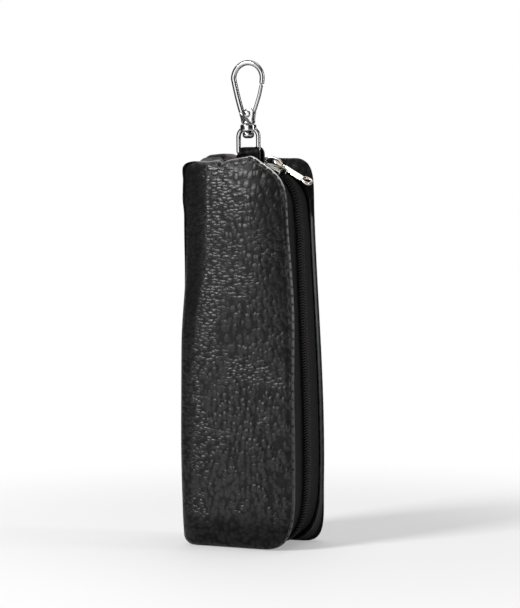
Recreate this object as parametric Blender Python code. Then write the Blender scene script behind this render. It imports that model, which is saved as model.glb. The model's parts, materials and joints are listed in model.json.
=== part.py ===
"""A zipped leather key case that stands on its base, with a swivel snap hook on top.

Metres, +Z up. The origin is the middle of the base. The front panel faces -Y, the zip side is +X and
the folded spine is -X. One object per piece. Angles are degrees, measured from straight up towards +X.
"""

import math

import bmesh
import bpy
import numpy as np
from mathutils import Matrix, Vector

# Body of the case
BODY_HEIGHT = 0.1464
HALF_WIDTH_TOP = 0.0209
HALF_WIDTH_BELLY = 0.0235
HALF_WIDTH_BASE = 0.0230
HALF_DEPTH_TOP = 0.0139
HALF_DEPTH_BELLY = 0.0163
HALF_DEPTH_BASE = 0.0159
BELLY_HEIGHT_SHARE = 0.24
PANEL_BULGE = 0.0012
PANEL_EDGE_RADIUS = 0.0028
LEFT_CORNER_RADIUS = 0.0036
LEATHER = 0.0014
LINING = 0.0005
GAP = 0.0003
OVERRUN = 0.004

# Corner shapes of the panels: 2 is an ellipse, more is squarer
CREST_SQUARENESS = 2.0
FRONT_TOP_SQUARENESS = 2.3
BACK_TOP_SQUARENESS = 5.0
BASE_LIP_SQUARENESS = 2.6
FRONT_BASE_SQUARENESS = 3.2
BACK_BASE_SQUARENESS = 6.0

# Zip
ZIP_TOP_RECESS = 0.0053
ZIP_CORNER_RADIUS = 0.0143
ZIP_SIDE_INSET = 0.0026
ZIP_BASE_CORNER_REACH = 0.0124
ZIP_BASE_CORNER_Z = 0.0220
ZIP_BASE_RECESS = 0.0024
TAPE_THICKNESS = 0.0007
TAPE_EDGE_GAP = 0.0012
TAPE_HALF_WIDTH = 0.0113
COIL_HALF_WIDTH = 0.0030
COIL_HEIGHT = 0.0014
COIL_SPLIT = 0.00015
LIP_Y = 0.0103
LIP_CREST_RUN = 0.0007
LIP_RISE = 0.0017

# Seam that closes the case left of the zip, and the slot in it for the strap
SEAM_HALF_GAP = 0.00015
STRAP_SLOT_Y = 0.0031
STRAP_SLOT_MARGIN = 0.0008
SEAM_START_MARGIN = 0.0012
SEAM_CREST_Y_BASE = 0.0060
SEAM_CREST_Y_SPINE = 0.0040

# Fold of the front panel
FOLD_X = -0.0040
FOLD_CLEARANCE = 0.0004

# Lining
LINING_RIM_Y = 0.0094

# Stitching
THREAD_RADIUS = 0.00028

# Slider
SLIDER_ANGLE = 19.0
SLIDER_LENGTH = 0.0096
SLIDER_HALF_WIDTH = 0.0041
SLIDER_PLATE = 0.0009
SLIDER_FLANGE = 0.0008
DIVIDER_LENGTH = 0.0022
DIVIDER_HALF_WIDTH = 0.0008
BAIL_HALF_LENGTH = 0.0032
BAIL_HALF_WIDTH = 0.0006
BAIL_THICKNESS = 0.0009
BAIL_HEIGHT = 0.0030

# Pull
PULL_TURN = -31.0
PULL_YAW = 7.0
PULL_THICKNESS = 0.0012
PULL_EYE_LENGTH = 0.0056
PULL_EYE_HALF_WIDTH = 0.0025
PULL_BAR = 0.0009
PULL_NECK_HALF_WIDTH = 0.0014
PULL_LENGTH = 0.0172
PULL_END_HALF_WIDTH = 0.0028
PULL_SLOT_LENGTH = 0.0014
PULL_SLOT_HALF_WIDTH = 0.0018
PULL_SLOT_INSET = 0.0009

# Hanger strap and its ring
STRAP_TO_ZIP = 0.0046
STRAP_HALF_WIDTH = 0.0041
STRAP_NECK_HALF_WIDTH = 0.0029
STRAP_THICKNESS = 0.0014
STRAP_LENGTH = 0.0301
RING_AXIS_RISE = 0.0012
RING_WIRE_RADIUS = 0.0009
RING_BEND_SHARE = 1.6
RING_HALF_WIDTH = 0.0041
RING_HEIGHT = 0.0096
RING_BOSS_RADIUS = 0.0030
RING_BOSS_HEIGHT = 0.0024
STRAP_SHOULDER_DROP = 0.0013
RIVET_RADIUS = 0.0020
RIVET_HEAD = 0.0007
RIVET_DROP = 0.0150
RIVET_CROWN_SHARE = 0.7

# Swivel hook
STUD_RADIUS = 0.0011
STUD_CLEARANCE = 0.0003
BEAD_RADIUS = 0.0021
BEAD_HEIGHT = 0.0018
BEAD_END_SHARE = 0.6
COLLAR_RADIUS = 0.0025
COLLAR_HEIGHT = 0.0018
HOOK_PIVOT_RISE = 0.0056
HOOK_LENGTH = 0.0241
HOOK_HALF_WIDTH = 0.00695
HOOK_WIRE_RADIUS = 0.0010
HOOK_FOOT_HALF_WIDTH = 0.0026
HOOK_NOSE_DROP = 0.0024
EAR_THICKNESS = 0.0007
EAR_RADIUS = 0.0020
EAR_FOOT_SHARE = 0.8
GATE_THICKNESS = 0.0012
GATE_WIDTH = 0.0012
GATE_EYE_RADIUS = 0.0017
GATE_OPENING = 22.0
PIN_RADIUS = 0.0007
PIN_HEAD_RADIUS = 0.00135
PIN_HEAD_HEIGHT = 0.0006
PIN_SHOULDER_SHARE = 0.85
PIN_DOME_SHARE = 0.7
PIN_CLEARANCE = 0.00008
GATE_EYE_THICKNESS = 0.0004
SPRING_WIRE_RADIUS = 0.00012
SPRING_TURNS = 1.5

# Key ring
KEY_RING_RADIUS = 0.0115
KEY_RING_WIDTH = 0.0009
KEY_RING_THICKNESS = 0.0011

# How finely the shapes are cut
CORNER_STEPS = 9
SIDE_STEPS = 7
LEFT_CORNER_STEPS = 3
ROUND_STEPS = 20
WIRE_SIDES = 8
ARC_STEPS = 10
SPRING_STEPS = 10
MERGE = 1e-7

# Levels of a panel from its edge radius to its middle, as shares
EDGE_ARC_SHARES = (0.0, 1 / 3, 2 / 3, 1.0)
FACE_SHARES = (0.45, 0.75)
COLLAPSE_SHARE = 0.15


def clear_scene():
    for item in list(bpy.data.objects):
        bpy.data.objects.remove(item, do_unlink=True)


def material(name, colour, roughness, metallic):
    made = bpy.data.materials.new(name)
    made.use_nodes = True
    shader = made.node_tree.nodes["Principled BSDF"]
    shader.inputs["Base Color"].default_value = (*colour, 1.0)
    shader.inputs["Roughness"].default_value = roughness
    shader.inputs["Metallic"].default_value = metallic
    return made


def add_object(name, mesh, surface, origin=(0, 0, 0)):
    """An object whose origin is moved to a joint's axis while its mesh stays where it is."""
    made = bpy.data.objects.new(name, mesh)
    mesh.transform(Matrix.Translation(-Vector(origin)))
    made.location = origin
    mesh.materials.append(surface)
    bpy.context.scene.collection.objects.link(made)
    return made


def closed_mesh(name, points, faces):
    """A mesh with coinciding points merged and every face pointing out."""
    shape = bmesh.new()
    corners = [shape.verts.new(point) for point in points]
    for face in faces:
        shape.faces.new([corners[index] for index in face])
    bmesh.ops.remove_doubles(shape, verts=shape.verts, dist=MERGE)
    bmesh.ops.recalc_face_normals(shape, faces=shape.faces)
    mesh = bpy.data.meshes.new(name)
    shape.to_mesh(mesh)
    shape.free()
    return mesh


def loops_mesh(name, loops, closed=False):
    """Joins loops of equally many points into one skin. An open run of loops gets flat ends."""
    count = len(loops[0])
    points = np.concatenate(loops)
    faces = []
    last = len(loops) if closed else len(loops) - 1
    for level in range(last):
        low, high = level * count, (level + 1) % len(loops) * count
        for index in range(count):
            after = (index + 1) % count
            faces.append((low + index, low + after, high + after, high + index))
    if not closed:
        faces.append(tuple(range(count)))
        faces.append(tuple(range(last * count, (last + 1) * count)))
    return closed_mesh(name, points, faces)


def smooth_mesh(mesh):
    mesh.shade_smooth()
    mesh.set_sharp_from_angle(angle=math.radians(35))


def unite(name, meshes, surface, origin=(0, 0, 0)):
    """One body from overlapping meshes, by a Boolean union of each with the first."""
    base = add_object(name, meshes[0], surface)
    for number, mesh in enumerate(meshes[1:]):
        piece = add_object(f"{name}_join_{number}", mesh, surface)
        hide_helper(piece)
        joined = base.modifiers.new(f"join_{number}", "BOOLEAN")
        joined.operation = "UNION"
        joined.object = piece
    move_origin(base, origin)
    return base


def hide_helper(item):
    item.hide_render = True
    item.display_type = "WIRE"


def move_origin(item, origin):
    item.data.transform(Matrix.Translation(item.location - Vector(origin)))
    item.location = origin


def cut(item, mesh, name):
    """Takes the shape of a mesh out of an object."""
    cutter = add_object(f"{name}_cutter", mesh, item.data.materials[0])
    hide_helper(cutter)
    taken = item.modifiers.new(name, "BOOLEAN")
    taken.operation = "DIFFERENCE"
    taken.object = cutter


def box_mesh(name, low, high):
    (x0, y0, z0), (x1, y1, z1) = low, high
    floor = [(x0, y0, z0), (x1, y0, z0), (x1, y1, z0), (x0, y1, z0)]
    roof = [(x, y, z1) for x, y, _ in floor]
    return loops_mesh(name, [np.array(floor), np.array(roof)])


def turned_mesh(name, profile, centre, axis="Z"):
    """A solid turned about an axis through a centre. The profile runs end to end as radius and height."""
    turns = np.arange(ROUND_STEPS) / ROUND_STEPS * 2 * math.pi
    loops = []
    for radius, height in profile:
        across, along = radius * np.cos(turns), radius * np.sin(turns)
        up = np.full_like(turns, height)
        loop = {"Z": (across, along, up), "Y": (across, up, along), "X": (up, across, along)}[axis]
        loops.append(np.array(loop).T + np.array(centre))
    mesh = loops_mesh(name, loops)
    smooth_mesh(mesh)
    return mesh


def swept_mesh(name, path, widths, heights, side, closed=False):
    """A bar of rectangular section along a path. Side is the direction of its width."""
    path = np.array(path, float)
    side = np.array(side, float)
    if closed:
        ahead = np.roll(path, -1, axis=0) - np.roll(path, 1, axis=0)
    else:
        ahead = np.gradient(path, axis=0)
    ahead /= np.linalg.norm(ahead, axis=1)[:, None]
    normal = np.cross(ahead, side)
    wide = np.broadcast_to(np.array(widths, float), len(path))[:, None] * side
    high = np.broadcast_to(np.array(heights, float), len(path))[:, None] * normal
    corners = ((1, 1), (1, -1), (-1, -1), (-1, 1))
    loops = [
        np.array([path[n] + a * wide[n] + b * high[n] for a, b in corners])
        for n in range(len(path))
    ]
    return loops_mesh(name, loops, closed)


def tube_mesh(name, path, radius, sides=WIRE_SIDES, closed=False):
    """A round wire along a path that lies near one plane."""
    path = np.array(path, float)
    if closed:
        ahead = np.roll(path, -1, axis=0) - np.roll(path, 1, axis=0)
    else:
        ahead = np.gradient(path, axis=0)
    ahead /= np.linalg.norm(ahead, axis=1)[:, None]
    flat = path - path.mean(axis=0)
    plane = np.linalg.svd(flat)[2][2]
    inward = np.cross(ahead, plane)
    inward /= np.linalg.norm(inward, axis=1)[:, None]
    upward = np.cross(inward, ahead)
    turns = np.arange(sides) / sides * 2 * math.pi
    radii = np.broadcast_to(np.array(radius, float), len(path))
    loops = [
        path[n] + radii[n] * (np.outer(np.cos(turns), inward[n]) + np.outer(np.sin(turns), upward[n]))
        for n in range(len(path))
    ]
    mesh = loops_mesh(name, loops, closed)
    smooth_mesh(mesh)
    return mesh


def smooth_between(low, high, share):
    return low + (high - low) * (1 - np.cos(np.pi * np.clip(share, 0, 1))) / 2


def by_height(z, base, belly, top):
    """A size that swells smoothly from the base to the belly and narrows to the top."""
    height = np.asarray(z) / BODY_HEIGHT
    below = smooth_between(base, belly, height / BELLY_HEIGHT_SHARE)
    above = smooth_between(belly, top, (height - BELLY_HEIGHT_SHARE) / (1 - BELLY_HEIGHT_SHARE))
    return np.where(height < BELLY_HEIGHT_SHARE, below, above)


def half_width(z):
    return by_height(z, HALF_WIDTH_BASE, HALF_WIDTH_BELLY, HALF_WIDTH_TOP)


def half_depth(z):
    return by_height(z, HALF_DEPTH_BASE, HALF_DEPTH_BELLY, HALF_DEPTH_TOP)


def zip_corner():
    """The centre of the zip's upper corner in XZ, where its straight top starts."""
    z = BODY_HEIGHT - ZIP_TOP_RECESS - ZIP_CORNER_RADIUS
    return float(half_width(z)) - ZIP_SIDE_INSET - ZIP_CORNER_RADIUS, z


def hanger_x():
    return zip_corner()[0] - STRAP_TO_ZIP


def ring_axis_z():
    return BODY_HEIGHT + RING_AXIS_RISE


def ring_top_z():
    return ring_axis_z() + RING_HEIGHT


def strap_low_z():
    return ring_axis_z() - STRAP_LENGTH


def strap_slot():
    """Left and right ends of the slot in the top seam, in X."""
    reach = STRAP_HALF_WIDTH + STRAP_SLOT_MARGIN
    return hanger_x() - reach, min(hanger_x() + reach, zip_corner()[0] - LIP_CREST_RUN)


def corner_points(centre, reach_x, reach_z, squareness, steps, start, end):
    """Part of a superellipse. Angles run from straight up through +X to straight down."""
    angles = np.radians(np.linspace(start, end, steps + 1))
    power = 2 / squareness
    sine, cosine = np.sin(angles), np.cos(angles)
    x = centre[0] + reach_x * np.abs(sine) ** power
    z = centre[1] + reach_z * np.sign(cosine) * np.abs(cosine) ** power
    return np.array([x, z]).T


def outline(top, base, side_inset, left_inset, top_squareness, base_squareness, left_radius):
    """A closed outline in XZ: up the zip side, along the top, down the spine and along the base.

    Every outline has its points at the same stations, so that outlines join point by point.
    """
    top_corner = zip_corner()
    base_corner = (
        float(half_width(ZIP_BASE_CORNER_Z)) - ZIP_SIDE_INSET - ZIP_BASE_CORNER_REACH,
        ZIP_BASE_CORNER_Z,
    )
    top_reach = half_width(top_corner[1]) - side_inset - top_corner[0]
    base_reach = half_width(base_corner[1]) - side_inset - base_corner[0]
    base_arc = corner_points(
        base_corner, base_reach, base_corner[1] - base, base_squareness, CORNER_STEPS, 180, 90
    )
    side_z = np.linspace(base_corner[1], top_corner[1], SIDE_STEPS + 1)[1:-1]
    side = np.array([half_width(side_z) - side_inset, side_z]).T
    top_arc = corner_points(
        top_corner, top_reach, top - top_corner[1], top_squareness, CORNER_STEPS, 90, 0
    )
    slot_left, slot_right = strap_slot()
    left_top = -half_width(top) + left_inset
    left_base = -half_width(0) + left_inset
    seam_start = slot_left - SEAM_START_MARGIN
    top_x = np.array([slot_right, slot_left, seam_start])
    top_line = np.array([top_x, np.full(3, top)]).T
    turn = np.radians(np.linspace(0, 90, LEFT_CORNER_STEPS + 1))
    top_left = np.array(
        [
            left_top + left_radius * (1 - np.sin(turn)),
            top - left_radius * (1 - np.cos(turn)),
        ]
    ).T
    low, high = base + left_radius, top - left_radius
    left_z = np.linspace(high, low, SIDE_STEPS + 1)[1:-1]
    left = np.array([-half_width(left_z) + left_inset, left_z]).T
    base_left = np.array(
        [
            left_base + left_radius * (1 - np.cos(turn)),
            base + left_radius * (1 - np.sin(turn)),
        ]
    ).T
    base_x = np.array([seam_start, slot_left, slot_right, zip_corner()[0]])
    base_line = np.array([base_x, np.full(4, base)]).T
    return np.concatenate([base_arc, side, top_arc, top_line, top_left, left, base_left, base_line])


def station_kinds():
    """The name of the stretch that each point of an outline belongs to."""
    names = ["zip"] * (2 * CORNER_STEPS + 2 + SIDE_STEPS - 1)
    names += ["slot"] * 2 + ["seam"]
    names += ["spine"] * (2 * LEFT_CORNER_STEPS + 2 + SIDE_STEPS - 1)
    names += ["base_seam"] * 3 + ["zip"]
    return np.array(names)


def by_kind(**values):
    return np.array([values[kind] for kind in station_kinds()], float)


def offset(line, distance):
    """Moves each point of a closed outline outwards."""
    ahead = np.roll(line, -1, axis=0) - np.roll(line, 1, axis=0)
    ahead /= np.linalg.norm(ahead, axis=1)[:, None]
    outward = np.array([ahead[:, 1], -ahead[:, 0]]).T
    return line + outward * np.reshape(distance, (-1, 1))


def middle_line(line):
    """The upright line in a panel's middle that an outline closes to, point by point."""
    low = BODY_HEIGHT * COLLAPSE_SHARE
    high = BODY_HEIGHT * (1 - COLLAPSE_SHARE)
    zip_side = np.linspace(low, high, SIDE_STEPS + 1)[1:-1]
    z = np.concatenate(
        [
            np.full(CORNER_STEPS + 1, low),
            zip_side,
            np.full(CORNER_STEPS + 4 + LEFT_CORNER_STEPS + 1, high),
            zip_side[::-1],
            np.full(LEFT_CORNER_STEPS + 5, low),
        ]
    )
    return np.array([np.zeros(len(line)), z]).T


def zip_outline():
    """The middle surface of the zip's tape, and of the seam that carries on from it."""
    return outline(
        BODY_HEIGHT - ZIP_TOP_RECESS,
        ZIP_BASE_RECESS,
        ZIP_SIDE_INSET,
        LEATHER,
        CREST_SQUARENESS,
        BASE_LIP_SQUARENESS,
        LEFT_CORNER_RADIUS - LEATHER,
    )


def lip_outline():
    """The top of the turned edge beside the zip. It stands higher over the zip on top than at the side."""
    return outline(
        BODY_HEIGHT,
        0,
        ZIP_SIDE_INSET - LIP_RISE,
        0,
        CREST_SQUARENESS,
        BASE_LIP_SQUARENESS,
        LEFT_CORNER_RADIUS,
    )


def loop_at(line, y, facing):
    """An outline at a depth. Facing is -1 on the front and 1 on the back."""
    return np.array([line[:, 0], facing * np.broadcast_to(y, len(line)), line[:, 1]]).T


def panel_face(line, depth, radius, facing, bulge):
    """Loops from the side of a panel round its edge to the middle line of its face."""
    loops = []
    for share in EDGE_ARC_SHARES:
        turn = share * math.pi / 2
        ring = offset(line, -radius * (1 - math.cos(turn)))
        y = half_depth(ring[:, 1]) - depth - radius * (1 - math.sin(turn))
        loops.append(loop_at(ring, y, facing))
    edge = offset(line, -radius)
    middle = middle_line(line)
    for share in (*FACE_SHARES, 1.0):
        ring = edge + (middle - edge) * share
        y = half_depth(ring[:, 1]) - depth + bulge * math.sin(share * math.pi / 2)
        loops.append(loop_at(ring, y, facing))
    return loops


def shell_mesh(name, facing, top_squareness, base_squareness):
    """One leather half of the case: a tray whose rim is the turned edge beside the zip."""
    path = zip_outline()
    inner = offset(path, by_kind(zip=1, slot=1, seam=1, spine=0, base_seam=1) * (TAPE_THICKNESS / 2 + GAP))
    lip = lip_outline()
    outer = outline(BODY_HEIGHT, 0, 0, 0, top_squareness, base_squareness, LEFT_CORNER_RADIUS)
    rim_y = by_kind(zip=LIP_Y, slot=STRAP_SLOT_Y, seam=SEAM_HALF_GAP, spine=SEAM_HALF_GAP,
                    base_seam=SEAM_HALF_GAP)
    crest_y = by_kind(zip=LIP_Y + LIP_CREST_RUN, slot=LIP_Y + LIP_CREST_RUN, seam=LIP_Y + LIP_CREST_RUN,
                      spine=SEAM_CREST_Y_SPINE, base_seam=SEAM_CREST_Y_BASE)
    rise_share = by_kind(zip=0.85, slot=0.25, seam=0.25, spine=1.0, base_seam=0.4).reshape(-1, 1)
    inside = panel_face(inner, LEATHER, PANEL_EDGE_RADIUS - LEATHER, facing, PANEL_BULGE)
    outside = panel_face(outer, 0, PANEL_EDGE_RADIUS, facing, PANEL_BULGE)
    rim = [
        loop_at(inner, rim_y, facing),
        loop_at(inner + (lip - inner) * rise_share, rim_y, facing),
        loop_at(lip, crest_y, facing),
    ]
    return loops_mesh(name, inside[::-1] + rim + outside)


def lining_mesh(name, facing):
    """A thin tray that lines one half and is sewn along the zip's tape."""
    under_tape = by_kind(zip=1, slot=1, seam=1, spine=0, base_seam=1) * (TAPE_THICKNESS / 2)
    outer = offset(zip_outline(), -under_tape - GAP)
    inner = offset(outer, -LINING)
    rim_y = by_kind(zip=LINING_RIM_Y, slot=STRAP_SLOT_Y, seam=SEAM_HALF_GAP, spine=SEAM_HALF_GAP,
                    base_seam=SEAM_HALF_GAP)
    depth = LEATHER + GAP
    radius = PANEL_EDGE_RADIUS - depth
    inside = panel_face(inner, depth + LINING, radius - LINING, facing, PANEL_BULGE)
    outside = panel_face(outer, depth, radius, facing, PANEL_BULGE)
    rim = [loop_at(inner, rim_y, facing), loop_at(outer, rim_y, facing)]
    return loops_mesh(name, inside[::-1] + rim + outside)


def split_front(mesh, fixed_name, moving_name, surface, axis):
    """The front half in two pieces: the fixed left side and the flap right of the fold."""
    reach = BODY_HEIGHT + OVERRUN
    gap = GAP / 2
    pieces = []
    for name, low, high in (
        (fixed_name, FOLD_X - gap, reach),
        (moving_name, -reach, FOLD_X + gap),
    ):
        piece = add_object(name, mesh.copy(), surface)
        cut(piece, box_mesh(name, (low, -reach, -reach), (high, reach, reach + BODY_HEIGHT)), f"{name}_side")
        pieces.append(piece)
    move_origin(pieces[1], axis)
    return pieces


def fold_axis():
    """A point on the upright line about which the flap opens, just outside the fullest front."""
    return FOLD_X, -(HALF_DEPTH_BELLY + PANEL_BULGE + FOLD_CLEARANCE), BODY_HEIGHT / 2


def zip_path():
    """The tape's middle surface from its upper end round both corners to its lower end, in XZ."""
    line = zip_outline()
    kinds = station_kinds()
    run = line[: np.argmax(kinds != "zip")][::-1]
    lower_end = line[-1:]
    return np.concatenate([run, lower_end])


def band_mesh(name, path, y_low, y_high, low, high, facing):
    """A band beside the zip's middle line, between two heights over the tape's middle surface."""
    ahead = np.gradient(path, axis=0)
    ahead /= np.linalg.norm(ahead, axis=1)[:, None]
    outward = np.array([-ahead[:, 1], ahead[:, 0]]).T
    loops = []
    for point, normal in zip(path, outward):
        below, above = point + normal * low, point + normal * high
        loops.append(
            np.array(
                [
                    (below[0], facing * y_low, below[1]),
                    (above[0], facing * y_low, above[1]),
                    (above[0], facing * y_high, above[1]),
                    (below[0], facing * y_high, below[1]),
                ]
            )
        )
    return loops_mesh(name, loops)


def coil_path():
    """The zip's path without its upper end, which the slider's divider keeps open."""
    path = zip_path()
    slider_half_angle = SLIDER_LENGTH / 2 / slider_radius()
    open_to = math.radians(SLIDER_ANGLE) - slider_half_angle + (DIVIDER_LENGTH + GAP) / slider_radius()
    out = np.array([math.sin(open_to), math.cos(open_to)])
    first = np.array(zip_corner()) + ZIP_CORNER_RADIUS * out
    beyond = path[:, 1] < first[1] - GAP
    return np.concatenate([[first], path[np.argmax(beyond) :]])


def coil_base():
    return TAPE_THICKNESS / 2 + GAP


def coil_top():
    return coil_base() + COIL_HEIGHT


def slider_radius():
    """The radius of the slider's top plate's underside about the zip's upper corner."""
    return ZIP_CORNER_RADIUS + coil_top() + GAP


def arc_band(name, y_low, y_high, inner, outer, start, end):
    """A slice of a ring about the zip's upper corner, between two angles and two depths."""
    angles = np.linspace(start, end, ARC_STEPS + 1)
    loops = []
    for angle in angles:
        out = np.array([math.sin(angle), math.cos(angle)])
        low = np.array(zip_corner()) + out * inner
        high = np.array(zip_corner()) + out * outer
        loops.append(
            np.array([(low[0], y_low, low[1]), (high[0], y_low, high[1]),
                      (high[0], y_high, high[1]), (low[0], y_high, low[1])])
        )
    return loops_mesh(name, loops)


def make_slider(surface):
    """Two curved plates joined by the divider, with a flange down each side of the coils."""
    axis = (zip_corner()[0], 0, zip_corner()[1])
    under = slider_radius()
    half_angle = SLIDER_LENGTH / 2 / under
    start = math.radians(SLIDER_ANGLE) - half_angle
    end = math.radians(SLIDER_ANGLE) + half_angle
    low_outer = ZIP_CORNER_RADIUS - TAPE_THICKNESS / 2 - GAP
    low_inner = low_outer - SLIDER_PLATE
    flange_foot = ZIP_CORNER_RADIUS + TAPE_THICKNESS / 2 + GAP
    wide = SLIDER_HALF_WIDTH
    inside = wide - SLIDER_FLANGE
    overlap = SLIDER_PLATE / 2
    parts = [arc_band("slider_top", -wide, wide, under, under + SLIDER_PLATE, start, end)]
    parts.append(arc_band("slider_low", -wide, wide, low_inner, low_outer, start, end))
    for low, high in ((-wide, -inside), (inside, wide)):
        parts.append(arc_band("slider_flange", low, high, flange_foot, under + overlap, start, end))
    divider_end = start + DIVIDER_LENGTH / under
    parts.insert(
        1,
        arc_band("slider_divider", -DIVIDER_HALF_WIDTH, DIVIDER_HALF_WIDTH, low_outer - overlap,
                 under + overlap, start, divider_end),
    )
    return unite("slider_body", parts, surface, axis)


def slider_frame():
    """The slider's own axes in XZ: a point over the zip's corner centre, and outward and downhill."""
    turn = math.radians(SLIDER_ANGLE)
    out = np.array([math.sin(turn), 0, math.cos(turn)])
    down = np.array([math.cos(turn), 0, -math.sin(turn)])
    centre = np.array([zip_corner()[0], 0, zip_corner()[1]])
    return centre + out * (slider_radius() + SLIDER_PLATE), out, down


def make_bail(surface):
    """The arch on top of the slider that holds the pull."""
    seat, out, down = slider_frame()
    turns = np.linspace(math.pi, 0, ARC_STEPS + 1)
    rise = BAIL_HEIGHT - BAIL_THICKNESS / 2
    path = [
        seat + down * (BAIL_HALF_LENGTH * math.cos(turn)) + out * (rise * math.sin(turn) ** 0.5)
        for turn in turns
    ]
    mesh = swept_mesh("bail", path, BAIL_HALF_WIDTH, BAIL_THICKNESS / 2, (0, 1, 0))
    return add_object("slider_bail", mesh, surface, (zip_corner()[0], 0, zip_corner()[1]))


def pull_axis():
    seat, out, _ = slider_frame()
    return seat + out * (BAIL_HEIGHT - BAIL_THICKNESS - PULL_BAR / 2 - GAP)


def pull_matrix():
    """The pull's own frame: X along it, Y across it, placed with its eye's bar on the hinge axis."""
    yaw = Matrix.Rotation(math.radians(PULL_YAW), 4, "Z")
    pitch = Matrix.Rotation(math.radians(-PULL_TURN), 4, "Y")
    return Matrix.Translation(Vector(pull_axis())) @ yaw @ pitch


def make_pull(surface):
    """A flat tab: an eye round the bail's arch, a neck, and an end with a slot."""
    eye_end = PULL_EYE_LENGTH - PULL_BAR / 2
    end = PULL_LENGTH - PULL_BAR / 2
    half = [
        (-PULL_BAR / 2, PULL_EYE_HALF_WIDTH - PULL_BAR / 2),
        (0, PULL_EYE_HALF_WIDTH),
        (eye_end - PULL_BAR, PULL_EYE_HALF_WIDTH),
        (eye_end, PULL_NECK_HALF_WIDTH),
        (eye_end + PULL_BAR, PULL_NECK_HALF_WIDTH),
        (end - PULL_BAR * 2, PULL_END_HALF_WIDTH),
        (end - PULL_BAR / 2, PULL_END_HALF_WIDTH),
        (end, PULL_END_HALF_WIDTH - PULL_BAR / 2),
    ]
    edge = half + [(x, -y) for x, y in half[::-1]]
    low = np.array([(x, y, -PULL_THICKNESS / 2) for x, y in edge])
    high = np.array([(x, y, PULL_THICKNESS / 2) for x, y in edge])
    mesh = loops_mesh("pull", [low, high])
    place = pull_matrix()
    mesh.transform(place)
    pull = add_object("pull_tab", mesh, surface)
    window = box_mesh(
        "window",
        (PULL_BAR / 2, -PULL_EYE_HALF_WIDTH + PULL_BAR, -OVERRUN),
        (eye_end - PULL_BAR, PULL_EYE_HALF_WIDTH - PULL_BAR, OVERRUN),
    )
    window.transform(place)
    cut(pull, window, "pull_eye")
    slot_end = end - PULL_SLOT_INSET
    slot = box_mesh(
        "slot",
        (slot_end - PULL_SLOT_LENGTH, -PULL_SLOT_HALF_WIDTH, -OVERRUN),
        (slot_end, PULL_SLOT_HALF_WIDTH, OVERRUN),
    )
    slot.transform(place)
    cut(pull, slot, "pull_slot")
    thin = PULL_BAR / 2
    for sign in (-1, 1):
        face = box_mesh("thin", (-OVERRUN, -OVERRUN, thin), (PULL_BAR, OVERRUN, OVERRUN))
        if sign < 0:
            face.transform(Matrix.Rotation(math.pi, 4, "X"))
        face.transform(place)
        cut(pull, face, f"pull_bar_{sign + 1}")
    move_origin(pull, pull_axis())
    return pull


def belt_path(radius, low, high):
    """A closed belt in YZ round a wire above and a ring below."""
    turns = np.linspace(0, math.pi, ARC_STEPS + 1)
    over = [(radius * math.cos(turn), high + radius * math.sin(turn)) for turn in turns]
    under = [(-radius * math.cos(turn), low - radius * math.sin(turn)) for turn in turns]
    steps = SIDE_STEPS
    down = [(-radius, high + (low - high) * n / steps) for n in range(1, steps)]
    up = [(radius, low + (high - low) * n / steps) for n in range(1, steps)]
    return [(hanger_x(), y, z) for y, z in over + down + under + up]


def make_strap(surface):
    """One leather strap sewn into a loop: over the swivel ring's wire and under the key ring."""
    radius = RING_WIRE_RADIUS + GAP + STRAP_THICKNESS / 2
    path = belt_path(radius, strap_low_z(), ring_axis_z())
    shoulder = ring_axis_z() - STRAP_SHOULDER_DROP
    mesh = swept_mesh("strap", path, STRAP_HALF_WIDTH, STRAP_THICKNESS / 2, (1, 0, 0), closed=True)
    strap = add_object("hanger_strap", mesh, surface)
    reach = STRAP_HALF_WIDTH + OVERRUN
    for sign in (-1, 1):
        ends = sorted((hanger_x() + sign * STRAP_NECK_HALF_WIDTH, hanger_x() + sign * reach))
        notch = box_mesh("notch", (ends[0], -OVERRUN, shoulder), (ends[1], OVERRUN, shoulder + OVERRUN * 2))
        cut(strap, notch, f"notch_{sign + 1}")
        low_notch = box_mesh(
            "low_notch",
            (ends[0], -OVERRUN, strap_low_z() - OVERRUN),
            (ends[1], OVERRUN, strap_low_z() + STRAP_SHOULDER_DROP),
        )
        cut(strap, low_notch, f"low_notch_{sign + 1}")
    hole = turned_mesh(
        "hole",
        [(RIVET_RADIUS / 2 + GAP, -OVERRUN), (RIVET_RADIUS / 2 + GAP, OVERRUN)],
        (hanger_x(), 0, ring_axis_z() - RIVET_DROP),
        "Y",
    )
    cut(strap, hole, "rivet_hole")
    return strap


def make_strap_rivet(surface):
    """A tubular rivet that holds the two plies of the strap at their distance."""
    face = RING_WIRE_RADIUS + GAP + STRAP_THICKNESS + GAP
    shank = RIVET_RADIUS / 2
    profile = [
        (RIVET_RADIUS * RIVET_CROWN_SHARE, -face - RIVET_HEAD),
        (RIVET_RADIUS, -face - RIVET_HEAD / 2),
        (RIVET_RADIUS, -face),
        (shank, -face),
        (shank, face),
        (RIVET_RADIUS, face),
        (RIVET_RADIUS, face + RIVET_HEAD / 2),
        (RIVET_RADIUS * RIVET_CROWN_SHARE, face + RIVET_HEAD),
    ]
    mesh = turned_mesh("strap_rivet", profile, (hanger_x(), 0, ring_axis_z() - RIVET_DROP), "Y")
    return add_object("strap_rivet", mesh, surface)


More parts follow.
